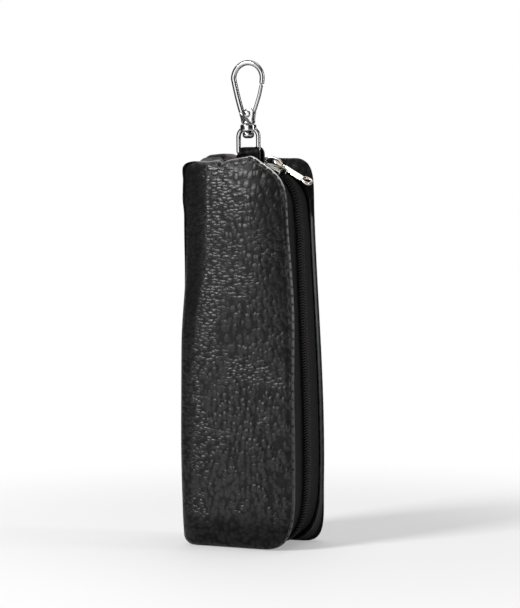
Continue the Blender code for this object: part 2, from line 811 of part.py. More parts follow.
def ring_wire_path():
    """The swivel ring's wire: a flat bar through the strap, two legs and rounded shoulders."""
    wide = RING_HALF_WIDTH
    bend = RING_WIRE_RADIUS * RING_BEND_SHARE
    shoulder = RING_HALF_WIDTH - RING_WIRE_RADIUS
    points = []
    for centre_x, centre_z, radius, start in (
        (wide - bend, ring_axis_z() + bend, bend, -90),
        (wide - shoulder, ring_top_z() - shoulder, shoulder, 0),
        (-wide + shoulder, ring_top_z() - shoulder, shoulder, 90),
        (-wide + bend, ring_axis_z() + bend, bend, 180),
    ):
        for turn in np.radians(np.linspace(start, start + 90, 6)):
            points.append(
                (hanger_x() + centre_x + radius * math.cos(turn), 0, centre_z + radius * math.sin(turn))
            )
    return points


def make_swivel_ring(surface):
    """A wire loop with a bored boss on top, in which the hook's stud turns."""
    wire = tube_mesh("ring", ring_wire_path(), RING_WIRE_RADIUS, closed=True)
    half = RING_BOSS_HEIGHT / 2
    rim = RING_WIRE_RADIUS / 2
    profile = [
        (RING_BOSS_RADIUS - rim, -half),
        (RING_BOSS_RADIUS, -half + rim),
        (RING_BOSS_RADIUS, half - rim),
        (RING_BOSS_RADIUS - rim, half),
    ]
    boss = turned_mesh("boss", profile, (hanger_x(), 0, ring_top_z()))
    ring = unite("swivel_ring", [wire, boss], surface)
    bore = STUD_RADIUS + STUD_CLEARANCE
    cutter = turned_mesh("bore", [(bore, -OVERRUN), (bore, OVERRUN)], (hanger_x(), 0, ring_top_z()))
    cut(ring, cutter, "boss_bore")
    move_origin(ring, (hanger_x(), 0, ring_axis_z()))
    return ring


def stud_levels():
    """Heights of the bead's top, the boss's top, and the hook's pivot."""
    bead_top = ring_top_z() - RING_BOSS_HEIGHT / 2 - GAP
    boss_top = ring_top_z() + RING_BOSS_HEIGHT / 2 + GAP
    pivot = boss_top + HOOK_PIVOT_RISE - COLLAR_HEIGHT
    return bead_top, boss_top, pivot


def make_stud(surface):
    """The swivel's pin with its riveted bead below the boss, and the collar that carries the hook."""
    bead_top, boss_top, _ = stud_levels()
    edge = BEAD_HEIGHT / 4
    profile = [
        (BEAD_RADIUS * BEAD_END_SHARE, bead_top - BEAD_HEIGHT),
        (BEAD_RADIUS, bead_top - BEAD_HEIGHT + edge),
        (BEAD_RADIUS, bead_top - edge),
        (BEAD_RADIUS - edge, bead_top),
        (STUD_RADIUS, bead_top),
        (STUD_RADIUS, boss_top),
        (COLLAR_RADIUS - edge, boss_top),
        (COLLAR_RADIUS, boss_top + edge),
        (COLLAR_RADIUS, boss_top + COLLAR_HEIGHT - GAP - edge),
        (COLLAR_RADIUS - edge, boss_top + COLLAR_HEIGHT - GAP),
    ]
    mesh = turned_mesh("stud", profile, (hanger_x(), 0, 0))
    return add_object("swivel_stud", mesh, surface, (hanger_x(), 0, boss_top))


def hook_path():
    """The hook's bent bar: up from its foot on the left, round the top and down to the nose."""
    _, _, pivot = stud_levels()
    bend = HOOK_HALF_WIDTH - HOOK_WIRE_RADIUS
    top = stud_levels()[1] + HOOK_LENGTH
    centre_z = top - HOOK_HALF_WIDTH
    left_foot = (hanger_x() - HOOK_FOOT_HALF_WIDTH, pivot - HOOK_WIRE_RADIUS)
    points = [left_foot]
    steps = SIDE_STEPS
    first = (hanger_x() - bend, centre_z)
    for n in range(1, steps):
        share = n / steps
        bow = math.sin(share * math.pi) * HOOK_WIRE_RADIUS / 4
        points.append(
            (
                left_foot[0] + (first[0] - left_foot[0]) * share - bow,
                left_foot[1] + (first[1] - left_foot[1]) * share,
            )
        )
    for turn in np.linspace(math.pi, 0, ARC_STEPS + 3):
        points.append((hanger_x() + bend * math.cos(turn), centre_z + bend * math.sin(turn)))
    points.append((hanger_x() + bend - HOOK_WIRE_RADIUS / 4, centre_z - HOOK_NOSE_DROP))
    return [(x, 0, z) for x, z in points]


def plate_mesh(name, edge, y_low, y_high):
    """A plate in XZ with its outline given in order."""
    low = np.array([(x, y_low, z) for x, z in edge])
    high = np.array([(x, y_high, z) for x, z in edge])
    return loops_mesh(name, [low, high])


def teardrop(centre, radius, tip, tip_radius):
    """An outline round two circles, as a link's eye and end."""
    centre, tip = np.array(centre), np.array(tip)
    ahead = tip - centre
    length = np.linalg.norm(ahead)
    aim = math.atan2(ahead[1], ahead[0])
    lean = math.acos((radius - tip_radius) / length)
    edge = []
    for middle, size, start, end in (
        (centre, radius, aim + lean, aim + 2 * math.pi - lean),
        (tip, tip_radius, aim - lean, aim + lean),
    ):
        for turn in np.linspace(start, end, ARC_STEPS):
            edge.append((middle[0] + size * math.cos(turn), middle[1] + size * math.sin(turn)))
    return edge


def hook_pivot():
    return hanger_x(), 0, stud_levels()[2]


def make_hook(surface):
    """The hook's bar and its two ears, which hold the gate's pin between them."""
    _, boss_top, pivot = stud_levels()
    path = hook_path()
    bar = tube_mesh("hook_bar", path, HOOK_WIRE_RADIUS)
    foot_z = boss_top + COLLAR_HEIGHT
    inner = GATE_THICKNESS / 2 + GAP
    outer = inner + EAR_THICKNESS
    ear_foot = (hanger_x() - HOOK_FOOT_HALF_WIDTH / 2, foot_z + EAR_RADIUS / 2)
    ear_edge = teardrop((hanger_x(), pivot), EAR_RADIUS, ear_foot, EAR_RADIUS / 2)
    parts = [bar]
    for sign in (-1, 1):
        low, high = sorted((sign * inner, sign * outer))
        parts.append(plate_mesh("ear", ear_edge, low, high))
    block = [
        (hanger_x() - COLLAR_RADIUS, foot_z),
        (hanger_x() + EAR_RADIUS * EAR_FOOT_SHARE, foot_z),
        (hanger_x() + EAR_RADIUS * EAR_FOOT_SHARE, foot_z + EAR_THICKNESS),
        (hanger_x() - GATE_EYE_RADIUS - GAP * 2, foot_z + EAR_THICKNESS),
        (hanger_x() - GATE_EYE_RADIUS - GAP * 2, pivot + HOOK_WIRE_RADIUS),
        (hanger_x() - COLLAR_RADIUS - HOOK_WIRE_RADIUS, pivot + HOOK_WIRE_RADIUS),
    ]
    parts.append(plate_mesh("block", block, -outer, outer))
    hook = unite("hook_body", parts, surface)
    bore = PIN_RADIUS + PIN_CLEARANCE
    cut(hook, turned_mesh("pin_bore", [(bore, -OVERRUN), (bore, OVERRUN)], hook_pivot(), "Y"), "pin_bore")
    for turn in (0, GATE_OPENING):
        gate_space = plate_mesh("gate_space", gate_edge(GAP), -inner, inner)
        pivot_at = Matrix.Translation(hook_pivot())
        swing = Matrix.Rotation(-math.radians(turn), 4, "Y")
        gate_space.transform(pivot_at @ swing @ pivot_at.inverted())
        cut(hook, gate_space, f"gate_space_{turn:.0f}")
    move_origin(hook, (hanger_x(), 0, boss_top))
    return hook


def gate_tip():
    """Where the closed gate meets the inside of the nose."""
    nose = hook_path()[-1]
    return nose[0] - HOOK_WIRE_RADIUS / 4, nose[2] - GAP - GATE_WIDTH / 2


def gate_edge(margin=0.0):
    pivot = hook_pivot()
    return teardrop(
        (pivot[0], pivot[2]), GATE_EYE_RADIUS + margin, gate_tip(), GATE_WIDTH / 2 + margin
    )


def make_gate(surface):
    """The sprung gate that closes the hook, with an eye on the pin."""
    mesh = plate_mesh("gate", gate_edge(), -GATE_THICKNESS / 2, GATE_THICKNESS / 2)
    gate = add_object("hook_gate", mesh, surface)
    bore = PIN_RADIUS + PIN_CLEARANCE
    cut(gate, turned_mesh("gate_bore", [(bore, -OVERRUN), (bore, OVERRUN)], hook_pivot(), "Y"), "gate_bore")
    pocket = GATE_EYE_RADIUS + GAP
    room = turned_mesh("room", [(pocket, spring_room()[0]), (pocket, OVERRUN)], hook_pivot(), "Y")
    cut(gate, room, "spring_room")
    move_origin(gate, hook_pivot())
    return gate


def make_gate_pin(surface):
    """The riveted pin through both ears and the gate, with a domed head in front."""
    outer = GATE_THICKNESS / 2 + GAP + EAR_THICKNESS + GAP
    dome = PIN_HEAD_HEIGHT
    profile = [
        (PIN_HEAD_RADIUS / 2, -outer - dome),
        (PIN_HEAD_RADIUS * PIN_SHOULDER_SHARE, -outer - dome * PIN_DOME_SHARE),
        (PIN_HEAD_RADIUS, -outer),
        (PIN_RADIUS, -outer),
        (PIN_RADIUS, outer),
        (PIN_HEAD_RADIUS, outer),
        (PIN_HEAD_RADIUS * PIN_SHOULDER_SHARE, outer + dome * PIN_DOME_SHARE),
        (PIN_HEAD_RADIUS / 2, outer + dome),
    ]
    mesh = turned_mesh("gate_pin", profile, hook_pivot(), "Y")
    return add_object("gate_pin", mesh, surface)


def spring_room():
    """Front and back ends in Y of the room beside the gate's eye, where the spring is wound."""
    return -GATE_THICKNESS / 2 + GATE_EYE_THICKNESS, GATE_THICKNESS / 2 + GAP


def make_gate_spring(surface):
    """A torsion spring wound round the pin beside the gate's eye, with a short leg at each end."""
    front, back = spring_room()
    radius = PIN_RADIUS + GAP + SPRING_WIRE_RADIUS
    margin = GAP / 2 + SPRING_WIRE_RADIUS
    centre = np.array(hook_pivot())
    steps = int(SPRING_STEPS * SPRING_TURNS)
    path = []
    for turn, y in zip(
        np.linspace(0, SPRING_TURNS * 2 * math.pi, steps + 1),
        np.linspace(front + margin, back - margin, steps + 1),
    ):
        path.append(centre + np.array([radius * math.cos(turn), y, radius * math.sin(turn)]))
    for end, before in ((0, 1), (-1, -2)):
        leg = path[end] - path[before]
        tip = path[end] + leg * np.array([1, 0, 1])
        path.insert(0 if end == 0 else len(path), tip)
    mesh = tube_mesh("gate_spring", path, SPRING_WIRE_RADIUS, 6)
    return add_object("gate_spring", mesh, surface, hook_pivot())


def make_key_ring(surface):
    """A flat split ring, hanging from the strap's lower fold."""
    curve_drop = KEY_RING_RADIUS - math.sqrt(KEY_RING_RADIUS**2 - STRAP_NECK_HALF_WIDTH**2)
    fold = strap_low_z() - RING_WIRE_RADIUS
    middle = fold + KEY_RING_THICKNESS / 2 + curve_drop - KEY_RING_RADIUS
    turns = np.arange(ROUND_STEPS * 2) / (ROUND_STEPS * 2) * 2 * math.pi
    path = [
        (hanger_x() + KEY_RING_RADIUS * math.sin(turn), 0, middle + KEY_RING_RADIUS * math.cos(turn))
        for turn in turns
    ]
    mesh = swept_mesh("key_ring", path, KEY_RING_WIDTH / 2, KEY_RING_THICKNESS / 2, (0, 1, 0), closed=True)
    smooth_mesh(mesh)
    return add_object("key_ring", mesh, surface, (hanger_x(), 0, strap_low_z()))


def stitch_path(facing, top_squareness, base_squareness):
    """The line of stitches just outside the lip, from the fold along the top and down to the base."""
    outer = outline(BODY_HEIGHT, 0, 0, 0, top_squareness, base_squareness, LEFT_CORNER_RADIUS)
    turn = EDGE_ARC_SHARES[1] * math.pi / 2
    reach = PANEL_EDGE_RADIUS + THREAD_RADIUS + GAP
    ring = offset(offset(outer, -PANEL_EDGE_RADIUS), reach * math.cos(turn))
    centre_y = half_depth(outer[:, 1]) - PANEL_EDGE_RADIUS
    y = centre_y + reach * math.sin(turn)
    kinds = station_kinds()
    keep = np.argmax(kinds != "zip")
    loop = loop_at(ring, y, facing)
    above_floor = loop[:keep][loop[:keep, 2] > PANEL_EDGE_RADIUS]
    return above_floor


def main():
    clear_scene()
    leather = material("black_leather", (0.012, 0.012, 0.013), 0.45, 0.0)
    lining_cloth = material("lining_cloth", (0.02, 0.02, 0.022), 0.9, 0.0)
    tape_cloth = material("zip_tape_cloth", (0.01, 0.01, 0.011), 0.85, 0.0)
    nylon = material("black_nylon", (0.01, 0.01, 0.01), 0.5, 0.0)
    thread = material("black_thread", (0.015, 0.015, 0.015), 0.7, 0.0)
    nickel = material("bright_nickel", (0.62, 0.60, 0.58), 0.15, 1.0)
    dark_nickel = material("dark_nickel", (0.25, 0.25, 0.26), 0.2, 1.0)
    steel = material("spring_steel", (0.5, 0.5, 0.5), 0.3, 1.0)

    fold = fold_axis()
    back = shell_mesh("back_shell", 1, BACK_TOP_SQUARENESS, BACK_BASE_SQUARENESS)
    smooth_mesh(back)
    add_object("back_shell", back, leather)
    front = shell_mesh("front", -1, FRONT_TOP_SQUARENESS, FRONT_BASE_SQUARENESS)
    smooth_mesh(front)
    split_front(front, "front_panel", "front_flap", leather, fold)
    add_object("back_lining", lining_mesh("back_lining", 1), lining_cloth)
    split_front(lining_mesh("front_lining", -1), "front_lining", "flap_lining", lining_cloth, fold)

    half = TAPE_THICKNESS / 2
    for name, facing, origin in (("front", -1, fold), ("back", 1, (0, 0, 0))):
        tape = band_mesh(f"{name}_tape", zip_path(), TAPE_EDGE_GAP, TAPE_HALF_WIDTH, -half, half, facing)
        add_object(f"{name}_zip_tape", tape, tape_cloth, origin)
        coil = band_mesh(
            f"{name}_coil", coil_path(), COIL_SPLIT, COIL_HALF_WIDTH, coil_base(), coil_top(), facing
        )
        add_object(f"{name}_zip_coil", coil, nylon, origin)
    for name, facing, origin, top, base in (
        ("front", -1, fold, FRONT_TOP_SQUARENESS, FRONT_BASE_SQUARENESS),
        ("back", 1, (0, 0, 0), BACK_TOP_SQUARENESS, BACK_BASE_SQUARENESS),
    ):
        path = stitch_path(facing, top, base)
        add_object(f"{name}_stitching", tube_mesh(name, path, THREAD_RADIUS, 4), thread, origin)

    make_slider(nickel)
    make_bail(nickel)
    make_pull(nickel)
    make_strap(leather)
    make_strap_rivet(dark_nickel)
    make_swivel_ring(dark_nickel)
    make_stud(dark_nickel)
    make_hook(dark_nickel)
    make_gate(dark_nickel)
    make_gate_pin(dark_nickel)
    make_gate_spring(steel)
    make_key_ring(steel)


main()
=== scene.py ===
# %% [markdown]
# # A zipped leather key case with a swivel snap hook
#
# The case is a tall soft box of black pebbled leather. A zip runs up its right side and round two corners,
# a leather strap comes out of the top seam, and a swivel hook hangs on it.
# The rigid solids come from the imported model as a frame. This lesson dresses them: every leather, cloth
# and metal piece is a surface worked out with numpy, in metres, in the frame's own axes: +X is the zip
# side, -Y is the front and +Z is up.

import json
import math
from functools import partial

import bmesh
import bpy
import numpy as np
from mathutils import Matrix, Vector

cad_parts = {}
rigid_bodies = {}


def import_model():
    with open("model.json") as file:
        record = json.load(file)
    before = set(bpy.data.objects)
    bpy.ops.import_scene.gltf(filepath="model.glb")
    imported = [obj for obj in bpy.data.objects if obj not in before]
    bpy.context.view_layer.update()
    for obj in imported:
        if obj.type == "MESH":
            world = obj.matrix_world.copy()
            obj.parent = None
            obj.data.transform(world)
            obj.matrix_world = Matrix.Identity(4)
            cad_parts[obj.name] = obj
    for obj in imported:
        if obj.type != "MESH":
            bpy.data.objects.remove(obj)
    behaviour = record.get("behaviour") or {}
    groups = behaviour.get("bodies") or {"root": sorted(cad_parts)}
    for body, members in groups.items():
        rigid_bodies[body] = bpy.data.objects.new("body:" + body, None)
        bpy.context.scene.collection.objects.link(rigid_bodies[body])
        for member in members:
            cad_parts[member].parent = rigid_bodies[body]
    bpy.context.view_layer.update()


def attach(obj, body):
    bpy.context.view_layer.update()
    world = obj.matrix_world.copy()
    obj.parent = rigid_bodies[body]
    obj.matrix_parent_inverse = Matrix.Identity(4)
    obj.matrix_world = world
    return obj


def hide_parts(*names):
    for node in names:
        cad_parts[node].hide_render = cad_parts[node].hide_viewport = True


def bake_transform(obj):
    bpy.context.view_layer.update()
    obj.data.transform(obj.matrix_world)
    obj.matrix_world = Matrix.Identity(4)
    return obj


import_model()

# %% [markdown]
# ## Sizes
#
# The real case swells gently from its top to a belly a quarter of the way up. Two small functions of
# height give its half width and half depth, so every piece that follows the leather agrees with it.

# %% Sizes of the body, in metres
HEIGHT = 0.1464
WIDTHS = (0.0230, 0.0235, 0.0209)
DEPTHS = (0.0159, 0.0163, 0.0139)
BELLY_SHARE = 0.24
BULGE = 0.0012
EDGE_RADIUS = 0.0028
LEFT_RADIUS = 0.0036
LEATHER = 0.0014
LINING = 0.0005
GAP = 0.0003
TAPE = 0.0007
TAPE_HALF_WIDTH = 0.0113
ZIP_RADIUS = 0.0143
ZIP_TOP_RECESS = 0.0053
ZIP_INSET = 0.0026
ZIP_BASE_RECESS = 0.0024
LIP_RISE = 0.0017
LIP_Y = 0.0103
MM = 0.001


def ease(low, high, share):
    """Half a cosine wave from low at share 0 to high at share 1."""
    return low + (high - low) * (1 - np.cos(np.pi * np.clip(share, 0, 1))) / 2


def rise(value, start, length):
    """Half a cosine wave from 0 where the value is at the start to 1 at a length past it."""
    return ease(0, 1, (value - start) / length)


def swell(z, base, belly, top):
    """A size at height z: eased from the base value to the belly value, then eased on to the top value."""
    share = np.asarray(z) / HEIGHT
    below = ease(base, belly, share / BELLY_SHARE)
    above = ease(belly, top, (share - BELLY_SHARE) / (1 - BELLY_SHARE))
    return np.where(share < BELLY_SHARE, below, above)


def half_width(z):
    return swell(z, *WIDTHS)


def half_depth(z):
    return swell(z, *DEPTHS)


corner_z = HEIGHT - ZIP_TOP_RECESS - ZIP_RADIUS
corner_x = float(half_width(corner_z)) - ZIP_INSET - ZIP_RADIUS
hanger_x = corner_x - 4.6 * MM
print("zip corner centre:", round(corner_x / MM, 2), round(corner_z / MM, 2), "mm")

# %% [markdown]
# ## Helpers that turn arrays into meshes
#
# Pieces like these could be sculpted or built up from modifiers. Grids of computed points are used instead,
# because every size then stays readable and exact. A grid becomes a mesh in one step: each square of it is
# one face. A loop carried along a path closes into a tube, and a ring that shrinks to a point closes its end
# once doubles are merged.

# %% Grid meshes


def grid_object(name, points, material, wrap=True, cut=None, cloth=None):
    """An object whose faces join each row of points to the next: face (i, j) has corners
    (i, j), (i, j+1), (i+1, j+1), (i+1, j). With wrap the last column joins the first, points that coincide
    are merged, and all faces are turned outwards. Cut is each point's share of bare edge and its painted
    highlight, kept as a vertex attribute. Cloth is its place along and across the weave in metres, kept as a
    UV map."""
    points = np.asarray(points, float)
    rows, columns = points.shape[:2]
    index = np.arange(rows * columns).reshape(rows, columns)
    across = np.concatenate([index, index[:, :1]], axis=1) if wrap else index
    quads = np.stack([across[:-1, :-1], across[:-1, 1:], across[1:, 1:], across[1:, :-1]], axis=-1)
    mesh = bpy.data.meshes.new(name)
    mesh.from_pydata(points.reshape(-1, 3).tolist(), [], quads.reshape(-1, 4).tolist())
    if cut is not None:
        shares = mesh.attributes.new("cut", "FLOAT", "POINT")
        shares.data.foreach_set("value", cut.astype(np.float32).reshape(-1))
    if cloth is not None:
        pairs = np.stack(np.broadcast_arrays(*cloth), axis=-1).reshape(-1, 2)[quads.reshape(-1)]
        mesh.uv_layers.new(name="cloth").data.foreach_set("uv", pairs.astype(np.float32).reshape(-1))
    if wrap:
        shape = bmesh.new()
        shape.from_mesh(mesh)
        bmesh.ops.remove_doubles(shape, verts=shape.verts, dist=1e-6)
        bmesh.ops.dissolve_degenerate(shape, edges=shape.edges, dist=1e-7)
        bmesh.ops.recalc_face_normals(shape, faces=shape.faces)
        shape.to_mesh(mesh)
        shape.free()
    mesh.shade_smooth()
    mesh.materials.append(material)
    return in_scene(name, mesh)


def in_scene(name, data):
    """An object in the scene that shows a mesh, or is a lamp or the camera."""
    made = bpy.data.objects.new(name, data)
    bpy.context.scene.collection.objects.link(made)
    return made


def unit(vectors):
    """The vectors at length 1, each divided by its own length."""
    return vectors / np.maximum(np.linalg.norm(vectors, axis=-1, keepdims=True), 1e-12)


# %% [markdown]
# ### Bars and turned solids
#
# Wire, coil, thread and most of the castings are bars: a section carried along a path. Rivets, stud and
# boss are turned on a lathe, so here too a profile is turned about an axis.

# %% Bars and turned solids


def circle(angles):
    """Points on the unit circle, as (cosine, sine) pairs."""
    return np.stack([np.cos(angles), np.sin(angles)], axis=-1)


def swept(path, normal, wide, high, power=2.0, around=16, closed=False):
    """A bar whose section is a superellipse, |s/wide|^power + |t/high|^power = 1, carried along a path.
    s runs to the side, which is ahead x normal, and t up, which is side x ahead. Open ends shrink to a
    point."""
    path = np.asarray(path, float)
    ahead = np.roll(path, -1, axis=0) - np.roll(path, 1, axis=0) if closed else np.gradient(path, axis=0)
    ahead = unit(ahead)
    side = unit(np.cross(ahead, np.broadcast_to(np.asarray(normal, float), path.shape)))
    up = unit(np.cross(side, ahead))
    round_section = circle(np.arange(around) / around * 2 * np.pi)
    across, along = (np.sign(round_section) * np.abs(round_section) ** (2 / power)).T
    wide, high = (np.broadcast_to(np.asarray(size, float), len(path))[:, None, None] for size in (wide, high))
    rings = path[:, None] + wide * across[:, None] * side[:, None] + high * along[:, None] * up[:, None]
    if closed:
        return np.concatenate([rings, rings[:1]])
    caps = [np.repeat(path[end][None, None, :], around, axis=1) for end in (0, -1)]
    return np.concatenate([caps[0], rings, caps[1]])


def bar(name, material, *section, **ends):
    """An object from a swept bar. After its name and material come the values that swept takes."""
    return grid_object(name, swept(*section, **ends), material)


def turned(name, material, profile, centre, axis="Z", around=48):
    """A solid of revolution: (radius, height) pairs turned about the Z or the Y axis through the centre."""
    profile = np.asarray(profile, float)
    turns = np.arange(around) / around * 2 * np.pi
    radius, height = profile[:, :1], profile[:, 1:]
    cosine, sine = radius * np.cos(turns), radius * np.sin(turns)
    up = np.broadcast_to(height, cosine.shape)
    order = (cosine, sine, up) if axis == "Z" else (cosine, up, sine)
    return grid_object(name, np.stack(order, axis=-1) + centre, material)


# %% [markdown]
# ### Paths
#
# A path is a row of points. Points at even steps keep the faces even, and corners that are cut a few times
# stand in for the small bends of real wire.

# %% Paths


def distances(path):
    """How far each point of a polyline lies from its start, along it."""
    return np.concatenate([[0], np.cumsum(np.linalg.norm(np.diff(path, axis=0), axis=1))])


def read_along(at, length, path):
    """The places at given distances along a path whose own points lie at the distances in length."""
    return np.stack([np.interp(at, length, column) for column in path.T], axis=1)


def resample(path, count, closed=False):
    """Points at equal steps along a polyline."""
    path = np.asarray(path, float)
    if closed:
        path = np.concatenate([path, path[:1]])
    length = distances(path)
    at = np.linspace(0, length[-1], count + 1)[:-1] if closed else np.linspace(0, length[-1], count)
    return read_along(at, length, path)


def rounded(path, times=2, closed=False):
    """Chaikin's corner cutting: points a quarter and three quarters along each edge replace the corners."""
    path = np.asarray(path, float)
    for _ in range(times):
        after = np.roll(path, -1, axis=0) if closed else path[1:]
        before = path if closed else path[:-1]
        pairs = np.stack([before * 0.75 + after * 0.25, before * 0.25 + after * 0.75], axis=1)
        cut = pairs.reshape(-1, *path.shape[1:])
        path = cut if closed else np.concatenate([path[:1], cut, path[-1:]])
    return path


# %% [markdown]
# ### Joining and dressing
#
# Parts that are brazed, riveted or cast in one become one object. Each piece stands for the rigid solids
# that it dresses. Most are hung on the body that they move with, and the front half's leather and lining
# are only set in place, on no body.

# %% Joining and dressing


def join(name, *objects):
    """Several meshes in one object. The closed surfaces overlap, as brazed or moulded parts do."""
    shape = bmesh.new()
    for item in objects:
        shape.from_mesh(item.data)
    mesh = bpy.data.meshes.new(name)
    shape.to_mesh(mesh)
    shape.free()
    for material in objects[0].data.materials:
        mesh.materials.append(material)
    for item in objects:
        bpy.data.objects.remove(item, do_unlink=True)
    return in_scene(name, mesh)


def dress(piece, body, slot, *nodes):
    """Hangs a piece on its body and lets it stand for solids of the frame. A piece of the front half, given
    both as its body, is only set in place and hung on no body. The slot is not used."""
    if body == "both":
        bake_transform(piece)
    else:
        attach(piece, body)
    if nodes:
        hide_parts(*nodes)
    print(piece.name, "rides on", body, "with", len(piece.data.polygons), "faces")
    return piece


# %% [markdown]
# ## Materials
#
# Every finish is worked out by shader nodes from the place in the piece, in metres, so that it needs no
# picture and keeps its real size. One small function adds a node with its settings and links. Colours are
# written as sRGB hex values and turned to linear once, because shaders work in linear light.

# %% Node and colour helpers
SMOOTH = {"interpolation_type": "SMOOTHSTEP"}
COLOUR = {"data_type": "RGBA"}


def linear(hex_colour):
    """An sRGB hex value as linear red, green, blue and 1."""
    parts = [int(hex_colour[place : place + 2], 16) / 255 for place in (1, 3, 5)]
    return (*[part / 12.92 if part <= 0.04045 else ((part + 0.055) / 1.055) ** 2.4 for part in parts], 1.0)


def add_node(tree, kind, *values, output=None, **named):
    """Adds a node and returns the output that is named, or else the first in use. A keyword in small letters
    is a setting, and one with a capital picks an input, with underscores for spaces. The values fill the
    inputs that the settings leave in use, in order. A socket is linked, and anything else is set."""
    made = tree.nodes.new("ShaderNode" + kind)
    for name in filter(str.islower, named):
        setattr(made, name, named[name])
    wanted = [*zip([socket for socket in made.inputs if socket.enabled], values)]
    wanted += [(made.inputs[name.replace("_", " ")], named[name]) for name in named if not name.islower()]
    for socket, value in wanted:
        if isinstance(value, bpy.types.NodeSocket):
            tree.links.new(value, socket)
        else:
            socket.default_value = value
    return made.outputs[output] if output else next(socket for socket in made.outputs if socket.enabled)


def connect(target, **sockets):
    """Links sockets to a node's inputs of those names, with underscores for spaces."""
    for name, socket in sockets.items():
        target.id_data.links.new(socket, target.inputs[name.replace("_", " ")])


def new_material(name, colour, roughness, metallic=0.0, **shader_values):
    """A material, the function that adds nodes to it, and its Principled shader, whose own sockets take the
    plain values."""
    made = bpy.data.materials.new(name)
    made.use_nodes = True
    shader = made.node_tree.nodes["Principled BSDF"]
    values = {"Base_Color": linear(colour), "Roughness": roughness, "Metallic": metallic, **shader_values}
    for socket, value in values.items():
        shader.inputs[socket.replace("_", " ")].default_value = value
    return made, partial(add_node, made.node_tree), shader


# %% [markdown]
# ### Pebbled leather
#
# Full grain cowhide, drum dyed black and milled until it shrinks into small pillows with creases between
# them, under a thin satin finish. The pillows could be carved or taken from a picture. Here they are domes
# round the seeds of a Voronoi pattern in object space, because that runs over edges and folds without a
# seam. They are 2.3 mm across and a little taller than wide. In broad patches, more of them towards the
# spine, they are 1.5 mm and drawn out sideways, and pores of 0.35 mm lie over them. They are deepest low on
# the case. The finish wears off and light is lost in the creases, so they mirror less, and their colour is
# darker there as painted shade. Where the hide is drawn round the spine, the base and the back's top it is
# taut and smoother. The strap's finish is duller.
#
# Where the vertex attribute named cut is 1, the hide's sliced edge shows: smoother and a little greyer,
# because it is sanded and sealed and takes no grain, and paler still from a painted highlight where the
# rolled edge catches the light. The painted highlight is lighter on the upper half and lightest at the zip's
# upper corner.

# %% Leather


def pillows(node, place, cell_mm, stretch):
    """Domes round warped Voronoi seeds: 1 - 2 d^2 at a distance of d cells, so creases lie where two meet."""
    warp = node("TexNoise", Vector=place, Scale=1 / (cell_mm * 1.8 * MM), output="Color")
    centred = node("VectorMath", warp, (0.5, 0.5, 0.5), operation="SUBTRACT")
    moved = node("VectorMath", centred, (cell_mm * 0.8 * MM,) * 3, place, operation="MULTIPLY_ADD")
    stretched = node("VectorMath", moved, stretch, operation="MULTIPLY")
    distance = node("TexVoronoi", Vector=stretched, Scale=1 / (cell_mm * MM), Randomness=0.85)
    squared = node("Math", distance, distance, operation="MULTIPLY")
    return node("MapRange", squared, 0.0, 0.5, 1.0, 0.0)


